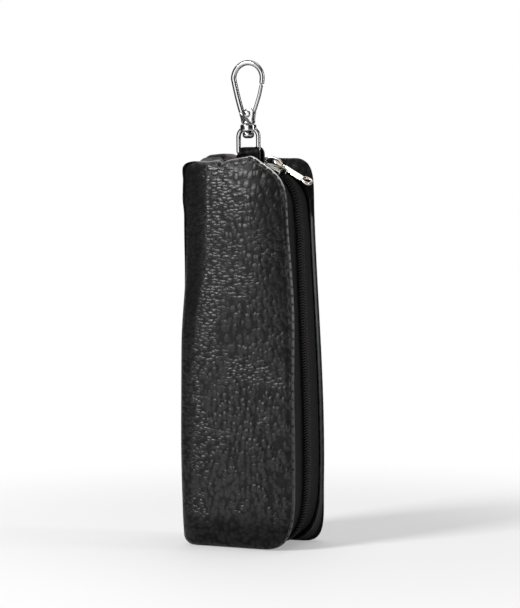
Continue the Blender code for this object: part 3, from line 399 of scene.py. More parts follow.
def leather_material(name, finish):
    """Black leather. The finish, from 0 to 1, says how strongly its grain mirrors."""
    made, node, shader = new_material(name, "#0d0d0e", 0.36, IOR=1.5)
    place = node("TexCoord", output="Object")
    x, y, z = node("SeparateXYZ", place).node.outputs

    # The pillows, in two sizes
    round_cells = pillows(node, place, 2.3, (1.15, 1.0, 0.85))
    fine_cells = pillows(node, place, 1.5, (0.65, 0.8, 1.2))
    leaning = node("MapRange", x, -0.012, 0.008, 0.07, -0.07)
    spread = node("Math", node("TexNoise", Vector=place, Scale=1 / (20 * MM)), leaning, operation="ADD")
    patches = node("MapRange", spread, 0.49, 0.57, **SMOOTH)
    cells = node("Mix", patches, round_cells, fine_cells)

    # How slack the hide lies, from 1 down to where it is drawn taut, and how deep its grain is
    across = node("Math", x, node("MapRange", z, 0.06, 0.09, 0.004, 0.0), operation="ADD")
    on_back = node("MapRange", y, 0.0, 0.004)
    stiff = node("Math", on_back, node("MapRange", z, 0.120, 0.135, 0.0, 0.7), operation="MULTIPLY")
    slack = node("Math", 1.0, stiff, operation="SUBTRACT")
    for share in (
        node("MapRange", across, -0.0165, -0.0108, 0.4, 1.0, **SMOOTH),
        node("MapRange", z, 0.005, 0.017, 0.3, 1.0, **SMOOTH),
        node("MapRange", z, HEIGHT - 1 * MM, HEIGHT, 1.0, 0.25),
    ):
        slack = node("Math", slack, share, operation="MULTIPLY")
    uneven = node("MapRange", node("TexNoise", Vector=place, Scale=1 / (9 * MM)), 0.35, 0.65, 0.5, 1.0)
    relief = node("Math", slack, uneven, operation="MULTIPLY")
    relief = node("Math", relief, node("MapRange", z, 0.04, 0.08, 1.6, 1.0), operation="MULTIPLY")
    pores = node("TexNoise", Vector=place, Scale=1 / (0.35 * MM), Detail=3.0)
    pores = node("Math", pores, 0.2, operation="MULTIPLY")
    grain = node("Math", cells, relief, pores, operation="MULTIPLY_ADD")

    # The bare edge's colours: its grey with a painted highlight, lighter on the upper half and lightest near
    # the top towards the zip
    bare = node("MapRange", node("Attribute", attribute_name="cut", output="Fac"), 0.3, 0.6)
    near_top = node("MapRange", z, 0.132, 0.140, **SMOOTH)
    towards_zip = node("MapRange", x, -0.001, 0.008, **SMOOTH)
    upper_half = node("MapRange", z, 0.035, 0.105, **SMOOTH)
    top_painted_highlight = node("Mix", towards_zip, linear("#7a7a7c"), linear("#d6d6d8"), **COLOUR)
    side_painted_highlight = node("Mix", upper_half, linear("#464848"), linear("#747878"), **COLOUR)
    edge_grey_with_painted_highlight = node("Mix", near_top, side_painted_highlight, top_painted_highlight, **COLOUR)

    # Grain and bare edge together
    # Darker colour in the creases is painted shade.
    grain_and_crease_shade_colour = node("Mix", cells, linear("#08080a"), linear("#111112"), **COLOUR)
    haze = node("MapRange", cells, 0.0, 1.0, 0.47, 0.34)
    gloss = node("MapRange", cells, 0.1, 0.75, 0.26 * finish, 0.52 * finish)
    gloss = node("Math", gloss, node("MapRange", slack, 0.4, 1.0, 0.4, 1.0), operation="MULTIPLY")
    strength = node("MapRange", bare, 0.0, 1.0, 1.0, 0.2)
    connect(
        shader,
        Base_Color=node("Mix", bare, grain_and_crease_shade_colour, edge_grey_with_painted_highlight, **COLOUR),
        Roughness=node("Mix", bare, haze, 0.45),
        Specular_IOR_Level=node("Mix", bare, gloss, 0.25),
        Normal=node("Bump", Height=grain, Strength=strength, Distance=0.3 * MM),
    )
    return made


pebbled_leather = leather_material("pebbled_full_grain_leather", 1.0)
strap_leather = leather_material("matte_strap_leather", 0.3)
print("leather:", pebbled_leather.name, strap_leather.name)

# %% [markdown]
# ### Zip tape and lining
#
# The tape is woven polyester with a fine herringbone, the lining a plain woven polyester. Every thread
# could be a tube, but two crossed waves look the same at this size. Real threads are 0.25 mm apart, too fine
# to show here, so they are drawn 0.5 mm apart. Both patterns read the piece's own UV map, which is laid out
# in metres along and across the cloth, so the weave turns with the tape.

# %% Woven cloth


def woven_material(name, colour, roughness, thread_mm, slant):
    """Cloth: two crossed sine waves of threads, weft x warp + weft, make the bump. A slant turns the ribs
    into herringbone."""
    made, node, shader = new_material(name, colour, roughness, Specular_IOR_Level=0.3)
    u, v, _ = node("SeparateXYZ", node("UVMap", uv_map="cloth")).node.outputs
    fold = node("Math", v, 2.4 * MM, operation="PINGPONG")
    along = node("Math", fold, slant, u, operation="MULTIPLY_ADD")
    turns = 2 * math.pi / (thread_mm * MM)
    phases = [node("Math", place, turns, operation="MULTIPLY") for place in (along, v)]
    weft, warp = (node("Math", phase, operation="SINE") for phase in phases)
    height = node("Math", weft, warp, weft, operation="MULTIPLY_ADD")
    connect(shader, Normal=node("Bump", Height=height, Strength=0.6, Distance=0.04 * MM))
    return made


herringbone_tape = woven_material("woven_polyester_tape", "#0b0b0c", 0.8, 0.5, 1.0)
lining_weave = woven_material("woven_polyester_lining", "#151517", 0.85, 0.45, 0.0)
print("cloth:", herringbone_tape.name, lining_weave.name)

# %% [markdown]
# ### Cut edge, thread and nylon
#
# The strap shows the sanded and sealed edge of the hide along both sides. The sewing thread is twisted
# black polyester. Both are dull and show short fibres, so noise lifts them a little. The zip's teeth are
# one black nylon monofilament, smoother than the tape and dyed through, so it mirrors little.

# %% Cut edge, thread and nylon


def fibrous_material(name, colour, roughness, fibre_mm, detail, strength):
    """A dull surface of short fibres: noise in object space lifts it by up to 0.05 mm."""
    made, node, shader = new_material(name, colour, roughness)
    place = node("TexCoord", output="Object")
    fibres = node("TexNoise", Vector=place, Scale=1 / (fibre_mm * MM), Detail=detail)
    connect(shader, Normal=node("Bump", Height=fibres, Strength=strength, Distance=0.05 * MM))
    return made


sealed_edge = fibrous_material("sealed_cut_leather_edge", "#3a3a3b", 0.5, 0.4, 3.0, 0.4)
sewing_thread = fibrous_material("twisted_polyester_thread", "#1a1a1b", 0.6, 0.3, 2.0, 0.5)
coil_nylon = new_material("nylon_monofilament", "#1c1e20", 0.42, Specular_IOR_Level=0.1)[0]
print("edge, thread and nylon:", sealed_edge.name, sewing_thread.name, coil_nylon.name)

# %% [markdown]
# ### Metals
#
# The slider and its bail are zinc castings with bright nickel plate, and the pull is polished further. The
# hook, the swivel and the rivets have black nickel plate, which mirrors like chrome but darker. The key
# ring and the spring are drawn steel wire. A mirror of one colour would vanish before the white ground.
# Plate keeps its outline because its colour is darkened at a slant, a painted shade that falls towards the
# rims.

# %% Metals


def plated_metal(name, colour, roughness, wave_mm, rim):
    """A plated casting: a mirror with faint long waves from polishing, and roughness that varies a little.
    Where it turns away from the eye, painted shade takes the colour down to a rim share."""
    made, node, shader = new_material(name, colour, roughness, metallic=1.0)
    place = node("TexCoord", output="Object")
    waves = node("TexNoise", Vector=place, Scale=1 / (wave_mm * MM), Detail=1.0)
    slant = node("LayerWeight", Blend=0.5, output="Facing")
    # Painted shade: the colour is darkened where the surface turns away from the eye.
    painted_rim_shade = node("MapRange", slant, 0.16, 0.5, 1.0, rim, **SMOOTH)
    connect(
        shader,
        Base_Color=node("VectorMath", linear(colour)[:3], painted_rim_shade, operation="SCALE"),
        Roughness=node("MapRange", waves, 0.0, 1.0, roughness * 0.7, roughness * 1.4),
        Normal=node("Bump", Height=waves, Strength=0.15, Distance=0.1 * MM),
    )
    return made


# The last value is how much colour the painted shade leaves at the rims.
bright_nickel = plated_metal("bright_nickel_plate", "#d6d2ca", 0.16, 2.0, 0.1)
polished_nickel = plated_metal("polished_nickel_plate", "#d6d2ca", 0.12, 2.0, 0.7)
black_nickel = plated_metal("black_nickel_plate", "#b8b8ba", 0.16, 2.0, 0.08)
spring_wire = plated_metal("drawn_steel_wire", "#a8a8a8", 0.25, 1.0, 0.4)
print("metals:", bright_nickel.name, polished_nickel.name, black_nickel.name, spring_wire.name)

# %% [markdown]
# ## The leather halves
#
# Each half of the real case is one cut piece of leather, turned in at the zip, so it is a shallow tray with
# rounded edges. It could be a flat sheet bent by a cloth simulation, but then nothing else would know
# where it ends. So its surface is a family of closed loops. Each loop runs up the zip side, along the top,
# down the spine and along the base. The loops start inside, at the turned-in rim beside the tape, climb over
# the lip's crest, pass round the panel's edge and close in to an upright line in the middle of the face.

# %% Outlines
CORNER_STEPS = 44
SIDE_STEPS = 220
TURN_STEPS = 10
ZIP_COUNT = 2 * (CORNER_STEPS + 1) + SIDE_STEPS - 1
STITCH_PITCH = 3.2 * MM
SLOT_LEFT, SLOT_RIGHT = hanger_x - 4.9 * MM, corner_x - 0.7 * MM
SEAM_START = SLOT_LEFT - 1.2 * MM
TOP_STEPS = (3, 16, 3, 18)


def corner(centre, reach_x, reach_z, squareness, start, end):
    """A quarter of a superellipse |x/reach_x|^n + |z/reach_z|^n = 1, from one angle to another."""
    angles = np.radians(np.linspace(start, end, CORNER_STEPS + 1))
    power = 2 / squareness
    x = centre[0] + reach_x * np.abs(np.sin(angles)) ** power
    z = centre[1] + reach_z * np.sign(np.cos(angles)) * np.abs(np.cos(angles)) ** power
    return np.stack([x, z], axis=1)


def run(start, end, steps, height):
    """Equal steps in x from a start that is left out to an end, at one height."""
    x = np.linspace(start, end, steps + 1)[1:]
    return np.stack([x, np.full(steps, height)], axis=1)


def outline(top, base, side_inset, left_inset, top_squareness, base_squareness, left_radius):
    """A closed outline in XZ with its points at fixed stations, so outlines join point by point."""
    base_z = 22 * MM
    base_corner = (float(half_width(base_z)) - ZIP_INSET - 12.4 * MM, base_z)
    base_reach = float(half_width(base_z)) - side_inset - base_corner[0]
    top_reach = float(half_width(corner_z)) - side_inset - corner_x
    base_arc = corner(base_corner, base_reach, base_z - base, base_squareness, 180, 90)
    side_z = np.linspace(base_z, corner_z, SIDE_STEPS + 1)[1:-1]
    side = np.stack([half_width(side_z) - side_inset, side_z], axis=1)
    top_arc = corner((corner_x, corner_z), top_reach, top - corner_z, top_squareness, 90, 0)
    stations = (corner_x, SLOT_RIGHT, SLOT_LEFT, SEAM_START)
    left_top = -float(half_width(top)) + left_inset
    left_base = -float(half_width(0)) + left_inset
    turn = np.radians(np.linspace(0, 90, TURN_STEPS + 1))
    bend_in, bend_along = left_radius * (1 - np.sin(turn)), left_radius * (1 - np.cos(turn))
    ends = (*stations[1:], left_top + left_radius)
    top_runs = [run(a, b, n, top) for a, b, n in zip(stations, ends, TOP_STEPS)]
    top_left = np.stack([left_top + bend_in, top - bend_along], axis=1)[1:]
    left_z = np.linspace(top - left_radius, base + left_radius, SIDE_STEPS + 1)[1:-1]
    left = np.stack([-half_width(left_z) + left_inset, left_z], axis=1)
    base_left = np.stack([left_base + bend_along, base + bend_in], axis=1)
    starts = (left_base + left_radius, *stations[::-1][:3])
    base_runs = [run(a, b, n, base) for a, b, n in zip(starts, stations[::-1], TOP_STEPS[::-1])]
    return np.concatenate([base_arc, side, top_arc, *top_runs, top_left, left, base_left, *base_runs])


def offset(line, distance):
    """Moves each point of a closed outline outwards, square to its neighbours' chord."""
    ahead = unit(np.roll(line, -1, axis=0) - np.roll(line, 1, axis=0))
    outward = np.stack([ahead[:, 1], -ahead[:, 0]], axis=1)
    return line + outward * np.reshape(distance, (-1, 1))


def middle_line(line):
    """Where each outline point ends on the upright line in a face's middle."""
    low, high = HEIGHT * 0.15, HEIGHT * 0.85
    side = np.linspace(low, high, SIDE_STEPS + 1)[1:-1]
    top_count = CORNER_STEPS + 1 + sum(TOP_STEPS) + TURN_STEPS
    base_count = TURN_STEPS + 1 + sum(TOP_STEPS)
    z = [np.full(CORNER_STEPS + 1, low), side, np.full(top_count, high), side[::-1], np.full(base_count, low)]
    return np.stack([np.zeros(len(line)), np.concatenate(z)], axis=1)


tape_line = outline(
    HEIGHT - ZIP_TOP_RECESS, ZIP_BASE_RECESS, ZIP_INSET, LEATHER, 2.0, 2.6, LEFT_RADIUS - LEATHER
)
lip_line = outline(HEIGHT, 0, ZIP_INSET - LIP_RISE, 0, 2.0, 2.6, LEFT_RADIUS)
spine = tape_line[:, 0] < SEAM_START - 1e-9
print("outline points:", len(tape_line))

# %% [markdown]
# ### From outline to leather
#
# How far a loop stands from the middle plane changes along the outline. Beside the zip the leather stops
# 10 mm short of the middle, to leave room for the tape. On the spine and the seams it runs up to the
# middle, and beside the strap it leaves a slot. These changes are eased over a few millimetres.

# %% Depths along the outline


def along_outline(zip_value, slot_value, seam_value, spine_value, base_value):
    """A value at each outline point, eased between the zip, the strap's slot, the seam and the spine.
    On the base, where no strap comes out, the seam starts beside the zip."""
    x = tape_line[:, 0]
    upper = tape_line[:, 1] > HEIGHT / 2
    beside = np.where(upper, slot_value, base_value)
    slot = beside + (zip_value - beside) * rise(x, SLOT_RIGHT, corner_x - SLOT_RIGHT)
    sewn = np.where(upper, seam_value, base_value)
    seam = sewn + (slot - sewn) * rise(x, SEAM_START, SLOT_LEFT - SEAM_START)
    spine_from = SEAM_START - 6 * MM
    return spine_value + (seam - spine_value) * rise(x, spine_from, SEAM_START - spine_from)


def lift(z):
    """How far the zip rises over its seat between its corners: the tape is pulled outwards by the load."""
    return rise(-z, -corner_z - 6 * MM, 18 * MM) * rise(z, 8 * MM, 18 * MM)


def rim_depth(z, facing):
    """How far from the middle plane the leather ends beside the zip. The back covers less of the tape."""
    return np.maximum(LIP_Y, half_depth(z) - 3.6 * MM) if facing > 0 else LIP_Y + 0 * z


# %% [markdown]
# ### Softness
#
# Cut and sewn hide doesn't stay as straight as its pattern. The empty case slumps at its shoulders, creases
# beside the spine and puckers at the strap. A cloth simulation would give such folds too, but not these
# ones. Here one function moves leather, lining and thread alike, so that nothing parts. Two tables, in mm,
# say how far the top edge sags on the front and stands up on the back at a place across.

# %% Softness
FRONT_SAG_AT = (-24, -21, -18.5, -12.4, -9, -7.5, -6.6, -5.8, -5.2, -4.2, -2.6, 3.9, 5.5, 8, 10, 12)
FRONT_SAG = (0.5, 0.7, 1.35, 1.55, 1.3, 1.2, 1.4, 2.9, 1.85, 1.4, 0.96, 0.15, -0.25, -0.26, -0.1, 0)
BACK_STAND_AT = (-24, -19.5, -17.5, -12, -10, -5, 4, 8, 12, 16)
BACK_STAND = (0.55, 0.6, 1.2, 1.6, 0.7, 0.1, 0, -0.4, -0.4, 0)


def read_table(x, places, values):
    """A table in mm read at x: straight lines between entries, averaged over 1 mm so that none creases."""
    shifts = (-0.5, -0.25, 0, 0.25, 0.5)
    return sum(np.interp(x / MM + shift, places, values) for shift in shifts) / len(shifts)


def softened(points):
    """Soft leather in place of a board. From a crease beside the spine the face slopes back towards it, by
    0.47 t^2 / (t + 1.5) mm at t mm past the crease. It falls away towards the top, the base and, on the upper
    front, the zip as the square of the nearness, and two slow waves run over it. The spine bellies out, most
    at the top. There the front half sags and puckers, as a table says, and the back half stands up by
    another. Past the strap the front's upper zip side drops and draws in by 1.4 mm. A weight keeps the rims
    beside the zip where they are."""
    x, y, z = points[..., 0], points[..., 1], points[..., 2]
    weight = rise(np.abs(y), 9 * MM, 3.5 * MM)
    wide = half_width(np.clip(z, 0, HEIGHT))
    upper = rise(z, 0.05, 0.04)
    spine_near = np.clip(1 - (x + wide) / ((10 + 3 * upper) * MM), 0, 1) ** 2
    zip_near = np.clip(1 - (wide - x) / (15 * MM), 0, 1) ** 2
    top_near = np.clip(1 - (HEIGHT - z) / (16 * MM), 0, 1) ** 2
    base_near = np.clip(1 - z / (13 * MM), 0, 1) ** 2
    waves = 0.3 * np.sin(x / 0.0075 + z / 0.021) + 0.25 * np.sin(z / 0.0125 - x / 0.016)
    zip_fall = np.where(y < 0, 2.2 * upper + 0.3, -0.5) * zip_near
    past_crease = np.clip(6 * rise(z, 0.075, 0.035) - 17 - x / MM, 0, None)
    slope = 0.47 * past_crease**2 / (past_crease + 1.5)
    fall = waves * (1 - spine_near) * (1 - zip_near) - slope - zip_fall - 0.7 * top_near - 1.3 * base_near
    spine_side = np.clip(1 - (x + wide) / (9 * MM), 0, 1) ** 2
    shoulder = 0.9 * np.exp(-(((z - 0.126) / 0.022) ** 2))
    crest = 0.8 * rise(z, 0.124, 0.008) + 0.4 * rise(z, 0.138, 0.004)
    off_middle = rise(np.abs(y), 3 * MM, 8 * MM)
    belly = (0.8 + 0.5 * upper + shoulder + crest) * MM * spine_side * off_middle
    high = rise(z, 0.134, 0.010)
    corner = 1.3 * rise(x, hanger_x + 6 * MM, 8 * MM)
    sag = (read_table(x, FRONT_SAG_AT, FRONT_SAG) + corner) * rise(-y, 1 * MM, 4 * MM)
    stand = read_table(x, BACK_STAND_AT, BACK_STAND) * rise(y, -3 * MM, 6 * MM)
    drawn = rise(z, 0.09, 0.04) * rise(x, 0, 14 * MM) * rise(-y, 4 * MM, 5 * MM)
    depth = y + np.sign(y) * weight * fall * MM
    return np.stack([x - belly - 1.4 * MM * drawn, depth, z + (stand - sag) * high * MM], axis=-1)


# %% [markdown]
# ### Loops
#
# A panel's edge is a quarter circle in section. The stitches draw it in by up to 0.42 mm at their holes, as
# tight thread does, on the part of the edge where they run.

# %% Loops of a panel
STITCH_TURN = {-1: math.radians(32), 1: math.radians(55)}


def loop_at(line, y, facing):
    """An XZ outline as points in space, at a depth y to the front (facing -1) or the back (1)."""
    return np.stack([line[:, 0], facing * np.broadcast_to(y, len(line)), line[:, 1]], axis=1)


def face_loops(line, depth, radius, facing, edge_steps, face_steps, dimples=0.0):
    """Loops round a panel's edge, a quarter circle of the given radius, then in to the face's middle line.
    The face swells by the bulge times the sine of its share of the way in. Dimples draw the edge in where
    the stitches run."""
    loops = []
    for turn in np.linspace(0, np.pi / 2, edge_steps + 1):
        reach = radius - dimples * math.exp(-(((turn - STITCH_TURN[facing]) / 0.33) ** 2))
        ring = offset(line, reach * np.cos(turn) - radius)
        y = half_depth(ring[:, 1]) - depth - radius + reach * np.sin(turn)
        loops.append(loop_at(ring, y, facing))
    edge, middle = offset(line, -radius), middle_line(line)
    for share in (np.arange(1, face_steps + 1) / face_steps) ** 1.1:
        ring = edge + (middle - edge) * share
        y = half_depth(ring[:, 1]) - depth + BULGE * np.sin(share * np.pi / 2)
        loops.append(loop_at(ring, y, facing))
    return loops


def near_holes(at, width):
    """How near a distance along the seam is to a stitch's hole: the bell exp(-((s - 0.5) / width)^2) of its
    share s of the way from stitch to stitch."""
    return np.exp(-(((at / STITCH_PITCH % 1 - 0.5) / width) ** 2))


def stitch_dimples(outer):
    """Depths by which the thread pulls the leather in: least over a stitch and most at its holes."""
    depth = 0.12 + 0.30 * near_holes(distances(outer), 0.22)
    return depth * MM * (np.arange(len(outer)) < ZIP_COUNT)


# %% [markdown]
# ### Both halves
#
# The hide's cut edge shows as a pale line along the zip, its pale grey a painted highlight where the rolled
# edge catches the light. On the front it is the row where the lip meets the panel's edge, broken where the
# thread dives, and on the back it is the lip's crest below the upper corner. The front's top seam, folded
# over, carries the same painted highlight.

# %% Leather halves


def leather_half(name, facing, top_squareness, base_squareness):
    """All loops of one leather half, from the middle of its inside face to the middle of its outside. Cut is
    1 on the bare edge, which carries a painted highlight, and 0 on the grain."""
    line_x, line_z = tape_line.T
    over_tape = ~spine * (TAPE / 2 + GAP)
    inner = offset(tape_line, over_tape)
    raised = offset(tape_line, over_tape + 0.55 * MM * lift(line_z) * (line_x > 0))
    outer = outline(HEIGHT, 0, 0, 0, top_squareness, base_squareness, LEFT_RADIUS)
    lip_y = rim_depth(line_z, facing)
    rim_y = along_outline(lip_y, 3.1 * MM, 0.15 * MM, 0.15 * MM, 0.15 * MM)
    crest_y = along_outline(lip_y + 0.5 * MM, LIP_Y, LIP_Y, 4 * MM, 6 * MM)
    climb = along_outline(0.85, 0.25, 0.25, 1.0, 0.4)[:, None]
    inside = face_loops(inner, LEATHER, EDGE_RADIUS - LEATHER, facing, 3, 10)
    outside = face_loops(outer, 0, EDGE_RADIUS, facing, 12, 44, stitch_dimples(outer))
    rim = [
        inside[0],
        loop_at(inner, rim_y + 0.9 * MM * lift(line_z), facing),
        loop_at(raised, rim_y, facing),
        loop_at(raised + (lip_line - raised) * climb, rim_y, facing),
        loop_at(lip_line, crest_y, facing),
        outside[0],
    ]
    cut = np.zeros((len(rim), len(outer)))
    edge_row, crest_row = 5, 4
    if facing < 0:
        # Painted highlight on the front's edge, dimmed at each stitch hole so that it reads as beads between
        # stitches.
        beads = 1 - 0.6 * near_holes(distances(outer), 0.22) * (outer[:, 1] < corner_z + 8 * MM)
        cut[edge_row] = along_outline(1.0, 0.8, 0.0, 0.0, 0.0) * beads
    else:
        cut[crest_row] = along_outline(1.0, 0.0, 0.0, 0.0, 0.0) * rise(-line_z, -corner_z, 5 * MM)
    top_seam_highlight = (facing < 0) & (np.arange(len(outer)) >= ZIP_COUNT) & (outer[:, 1] > HEIGHT - 0.6 * MM)
    both = rounded(np.concatenate([np.array(rim), cut[..., None]], axis=2), 2)
    # The cut edge and its painted highlight fade out over the first rows of the outside, and the painted
    # highlight is whole on the folded top.
    inner_rows, outer_rows = len(inside) - 1, len(outside) - 1
    edge = np.pad(both[..., 3], ((inner_rows, outer_rows), (0, 0)))
    edge[-outer_rows : -outer_rows + 4] = cut[-1] * np.array([0.8, 0.7, 0.6, 0.45])[:, None]
    edge[-outer_rows - 1 : -outer_rows + 3, top_seam_highlight] = 1
    points = np.concatenate([np.array(inside[:0:-1]), both[..., :3], np.array(outside[1:])])
    return grid_object(name, softened(points), pebbled_leather, cut=edge), outer


back_leather, back_outer = leather_half("back_leather", 1, 5.0, 6.0)
front_leather, front_outer = leather_half("front_leather", -1, 2.3, 2.9)
dress(back_leather, "case", "black_leather", "back_shell")
dress(front_leather, "both", "black_leather", "front_panel", "front_flap")

# %% [markdown]
# ## The linings
#
# The lining is woven cloth, cut a little smaller than the leather and sewn to it along the zip. A shrunken
# copy of the leather would do, but would cross it at the rims. The lining follows the leather's inside at
# 0.3 mm, so it is the same family of loops with smaller sizes.

# %% Linings


def lining(name, facing):
    """A thin tray: the inside loops, the rim, and the outside loops, all inside the leather."""
    under_tape = ~spine * (TAPE / 2)
    outer = offset(tape_line, -under_tape - GAP)
    inner = offset(outer, -LINING)
    rim_y = along_outline(9.4 * MM, 3.1 * MM, 0.15 * MM, 0.15 * MM, 0.15 * MM)
    depth = LEATHER + GAP
    radius = EDGE_RADIUS - depth
    inside = face_loops(inner, depth + LINING, radius - LINING, facing, 3, 10)
    outside = face_loops(outer, depth, radius, facing, 3, 10)
    rim = [loop_at(inner, rim_y, facing), loop_at(outer, rim_y, facing)]
    points = softened(np.array(inside[::-1] + rim + outside))
    return grid_object(name, points, lining_weave, cloth=(points[..., 0], points[..., 2]))


dress(lining("back_lining_cloth", 1), "case", "lining_cloth", "back_lining")
dress(lining("front_lining_cloth", -1), "both", "lining_cloth", "front_lining", "flap_lining")

# %% [markdown]
# ## The zip
#
# Both tapes run along the same path: from the top seam round the upper corner, down the side and round the
# lower corner. The teeth of a coil zip are one nylon wire per side, wound like a spring and sewn to the
# tape. Copies of one tooth along a curve would be quicker, but a coil is a single wire, so each row is one
# long tube. The two springs are half a turn apart, so their loops interlock in the middle.

# %% Tapes
ZIP_STEPS, TAPE_STEPS = 320, 22
zip_path = np.concatenate([tape_line[:ZIP_COUNT][::-1], tape_line[-1:]])
zip_path = resample(zip_path, ZIP_STEPS)
zip_normal = unit(np.gradient(zip_path, axis=0))[:, ::-1] * (-1, 1)
path_length = distances(zip_path)


def beside_zip(at, y, out):
    """Points at distances along the zip's path, at a depth y and a height over the tape's middle. Between
    its corners the zip is lifted by up to 0.7 mm."""
    x, z = (np.interp(at, path_length, zip_path[:, axis]) for axis in (0, 1))
    out = out + 0.7 * MM * lift(z)
    normal_x, normal_z = (np.interp(at, path_length, zip_normal[:, axis]) for axis in (0, 1))
    return np.stack(np.broadcast_arrays(x + normal_x * out, y, z + normal_z * out), axis=-1)


def tape(name, facing):
    """A ribbon whose section is a thin rounded oblong, with a thicker cord along its inner edge."""
    at = np.linspace(0, path_length[-1], ZIP_STEPS + 1)
    reach = rim_depth(np.interp(at, path_length, zip_path[:, 1]), facing) + TAPE_HALF_WIDTH - LIP_Y
    across = np.linspace(0, 1, TAPE_STEPS)
    cord = 0.25 * MM * np.exp(-(((across - 0.03) / 0.04) ** 2))
    half = TAPE / 2 * np.minimum(1, 8 * np.minimum(across, 1 - across) + 0.35)
    y = facing * (1.2 * MM + (reach[:, None] - 1.2 * MM) * across)
    section_y = np.concatenate([y, y[:, ::-1]], axis=1)
    section_out = np.concatenate([half + cord, -half[::-1]])
    points = beside_zip(at[:, None], section_y, section_out[None, :])
    ends = [points[[row]].mean(1, keepdims=True).repeat(2 * TAPE_STEPS, 1) for row in (0, -1)]
    points = np.concatenate([ends[0], points, ends[1]])
    section_y = np.pad(section_y, ((1, 1), (0, 0)), "edge")
    return grid_object(name, points, herringbone_tape, cloth=(np.pad(at, 1, "edge")[:, None], section_y))


dress(tape("front_tape", -1), "flap", "zip_tape_cloth", "front_zip_tape")
dress(tape("back_tape", 1), "case", "zip_tape_cloth", "back_zip_tape")

# %% Coils
SLIDER_ANGLE = math.radians(19)
COIL_PITCH, COIL_STEPS = 1.0 * MM, 18
coil_base = TAPE / 2 + 0.3 * MM
slider_under = ZIP_RADIUS + coil_base + 1.4 * MM + GAP
coil_start = ZIP_RADIUS * (SLIDER_ANGLE - 4.8 * MM / slider_under + 2.5 * MM / slider_under)


def coil(name, facing):
    """A flattened spring: along the path by one pitch a turn, sideways by a cosine, up by a sine."""
    turns = int((path_length[-1] - 3 * MM - coil_start) / COIL_PITCH)
    turn = np.linspace(0, turns * 2 * np.pi, turns * COIL_STEPS + 1)
    phase = 0 if facing < 0 else 0.5
    at = coil_start + (turn / (2 * np.pi) + phase) * COIL_PITCH
    wave = np.cos(turn)
    y = facing * (1.25 * MM - 1.55 * MM * np.sign(wave) * np.abs(wave) ** 0.8)
    out = coil_base + 0.5 * MM + 0.34 * MM * np.sin(turn)
    path = beside_zip(at, y, out)
    return bar(name, coil_nylon, path, (0, 0, 1), 0.25 * MM, 0.25 * MM, around=8)


dress(coil("front_coil", -1), "flap", "black_nylon", "front_zip_coil")
dress(coil("back_coil", 1), "case", "black_nylon", "back_zip_coil")

# %% [markdown]
# ## The stitching
#
# One lockstitch row holds each turned edge. Its thread runs over the leather for 2.3 mm, dives through a
# hole and comes up again. Separate beads would show the same, but the real thread is one, so it is one tube
# whose height over the leather dips every 3.2 mm. It pulls the leather in along the seam, most at its holes.

# %% Stitching


def stitching(name, facing, outer):
    """A tube along the panel's edge, part of the way round it, whose depth dips at each hole."""
    turn = STITCH_TURN[facing]
    ring = offset(outer, -EDGE_RADIUS)
    out = unit(offset(ring, 1.0) - ring)
    normal = np.insert(out * math.cos(turn), 1, facing * math.sin(turn), axis=1)
    base = loop_at(ring, half_depth(outer[:, 1]) - EDGE_RADIUS, facing)
    use = (np.arange(len(outer)) < ZIP_COUNT) & (base[:, 2] > EDGE_RADIUS)
    at = distances(outer)[use]
    fine = np.linspace(at[0], at[-1], 1100)
    base, normal = read_along(fine, at, base[use]), unit(read_along(fine, at, normal[use]))
    dive = 0.8 * MM * near_holes(fine, 0.14)
    path = softened(base + normal * (EDGE_RADIUS - 0.02 * MM - dive)[:, None])
    return bar(name, sewing_thread, path, normal, 0.26 * MM, 0.22 * MM, around=8)


dress(stitching("front_stitches", -1, front_outer), "flap", "black_thread", "front_stitching")
dress(stitching("back_stitches", 1, back_outer), "case", "black_thread", "back_stitching")

# %% [markdown]
# ## The slider and its pull
#
# The slider is a small casting: two plates with a divider between them and a flange along each side, so
# the two coils meet inside it. A bent box would be simpler, but would hide the channel. Its bars follow the
# upper corner's curve, and it sits 19 degrees down from the top. The pull hangs from the bail: a wire eye, a
# ridged blade and an end with a slot. It is built flat along its own X axis and then twisted by 16 degrees,
# so that a finger meets its flat side.

# %% Slider
zip_corner = np.array([corner_x, 0, corner_z])
SLIDER_STEPS = 40
AXIS_Y = (0, 1, 0)


def end_shares(path, radius):
    """Shares that round a bar's two ends: the quarter circle sqrt(1 - (1 - d/radius)^2) of the distance d."""
    along = distances(path)
    near = np.minimum(along, along[-1] - along)
    return np.sqrt(np.clip(1 - (1 - np.clip(near / radius, 0, 1)) ** 2, 0.02, 1))


def corner_arc(radius, start, end):
    """Points round the zip's corner at a radius, between two angles from the upright."""
    out = np.insert(circle(np.linspace(start, end, SLIDER_STEPS))[:, ::-1], 1, 0, axis=1)
    return zip_corner + out * radius, out


def arc_bar(name, radius, half_wide, half_high, start, end, power):
    """A bar of the slider along the zip's corner. It narrows to its two ends as a quarter circle does."""
    path, out = corner_arc(radius, start, end)
    rounding = end_shares(path, min(half_high * 2, 1.2 * MM))
    return bar(name, bright_nickel, path, out, half_wide * rounding, half_high * rounding**0.5, power, 20)


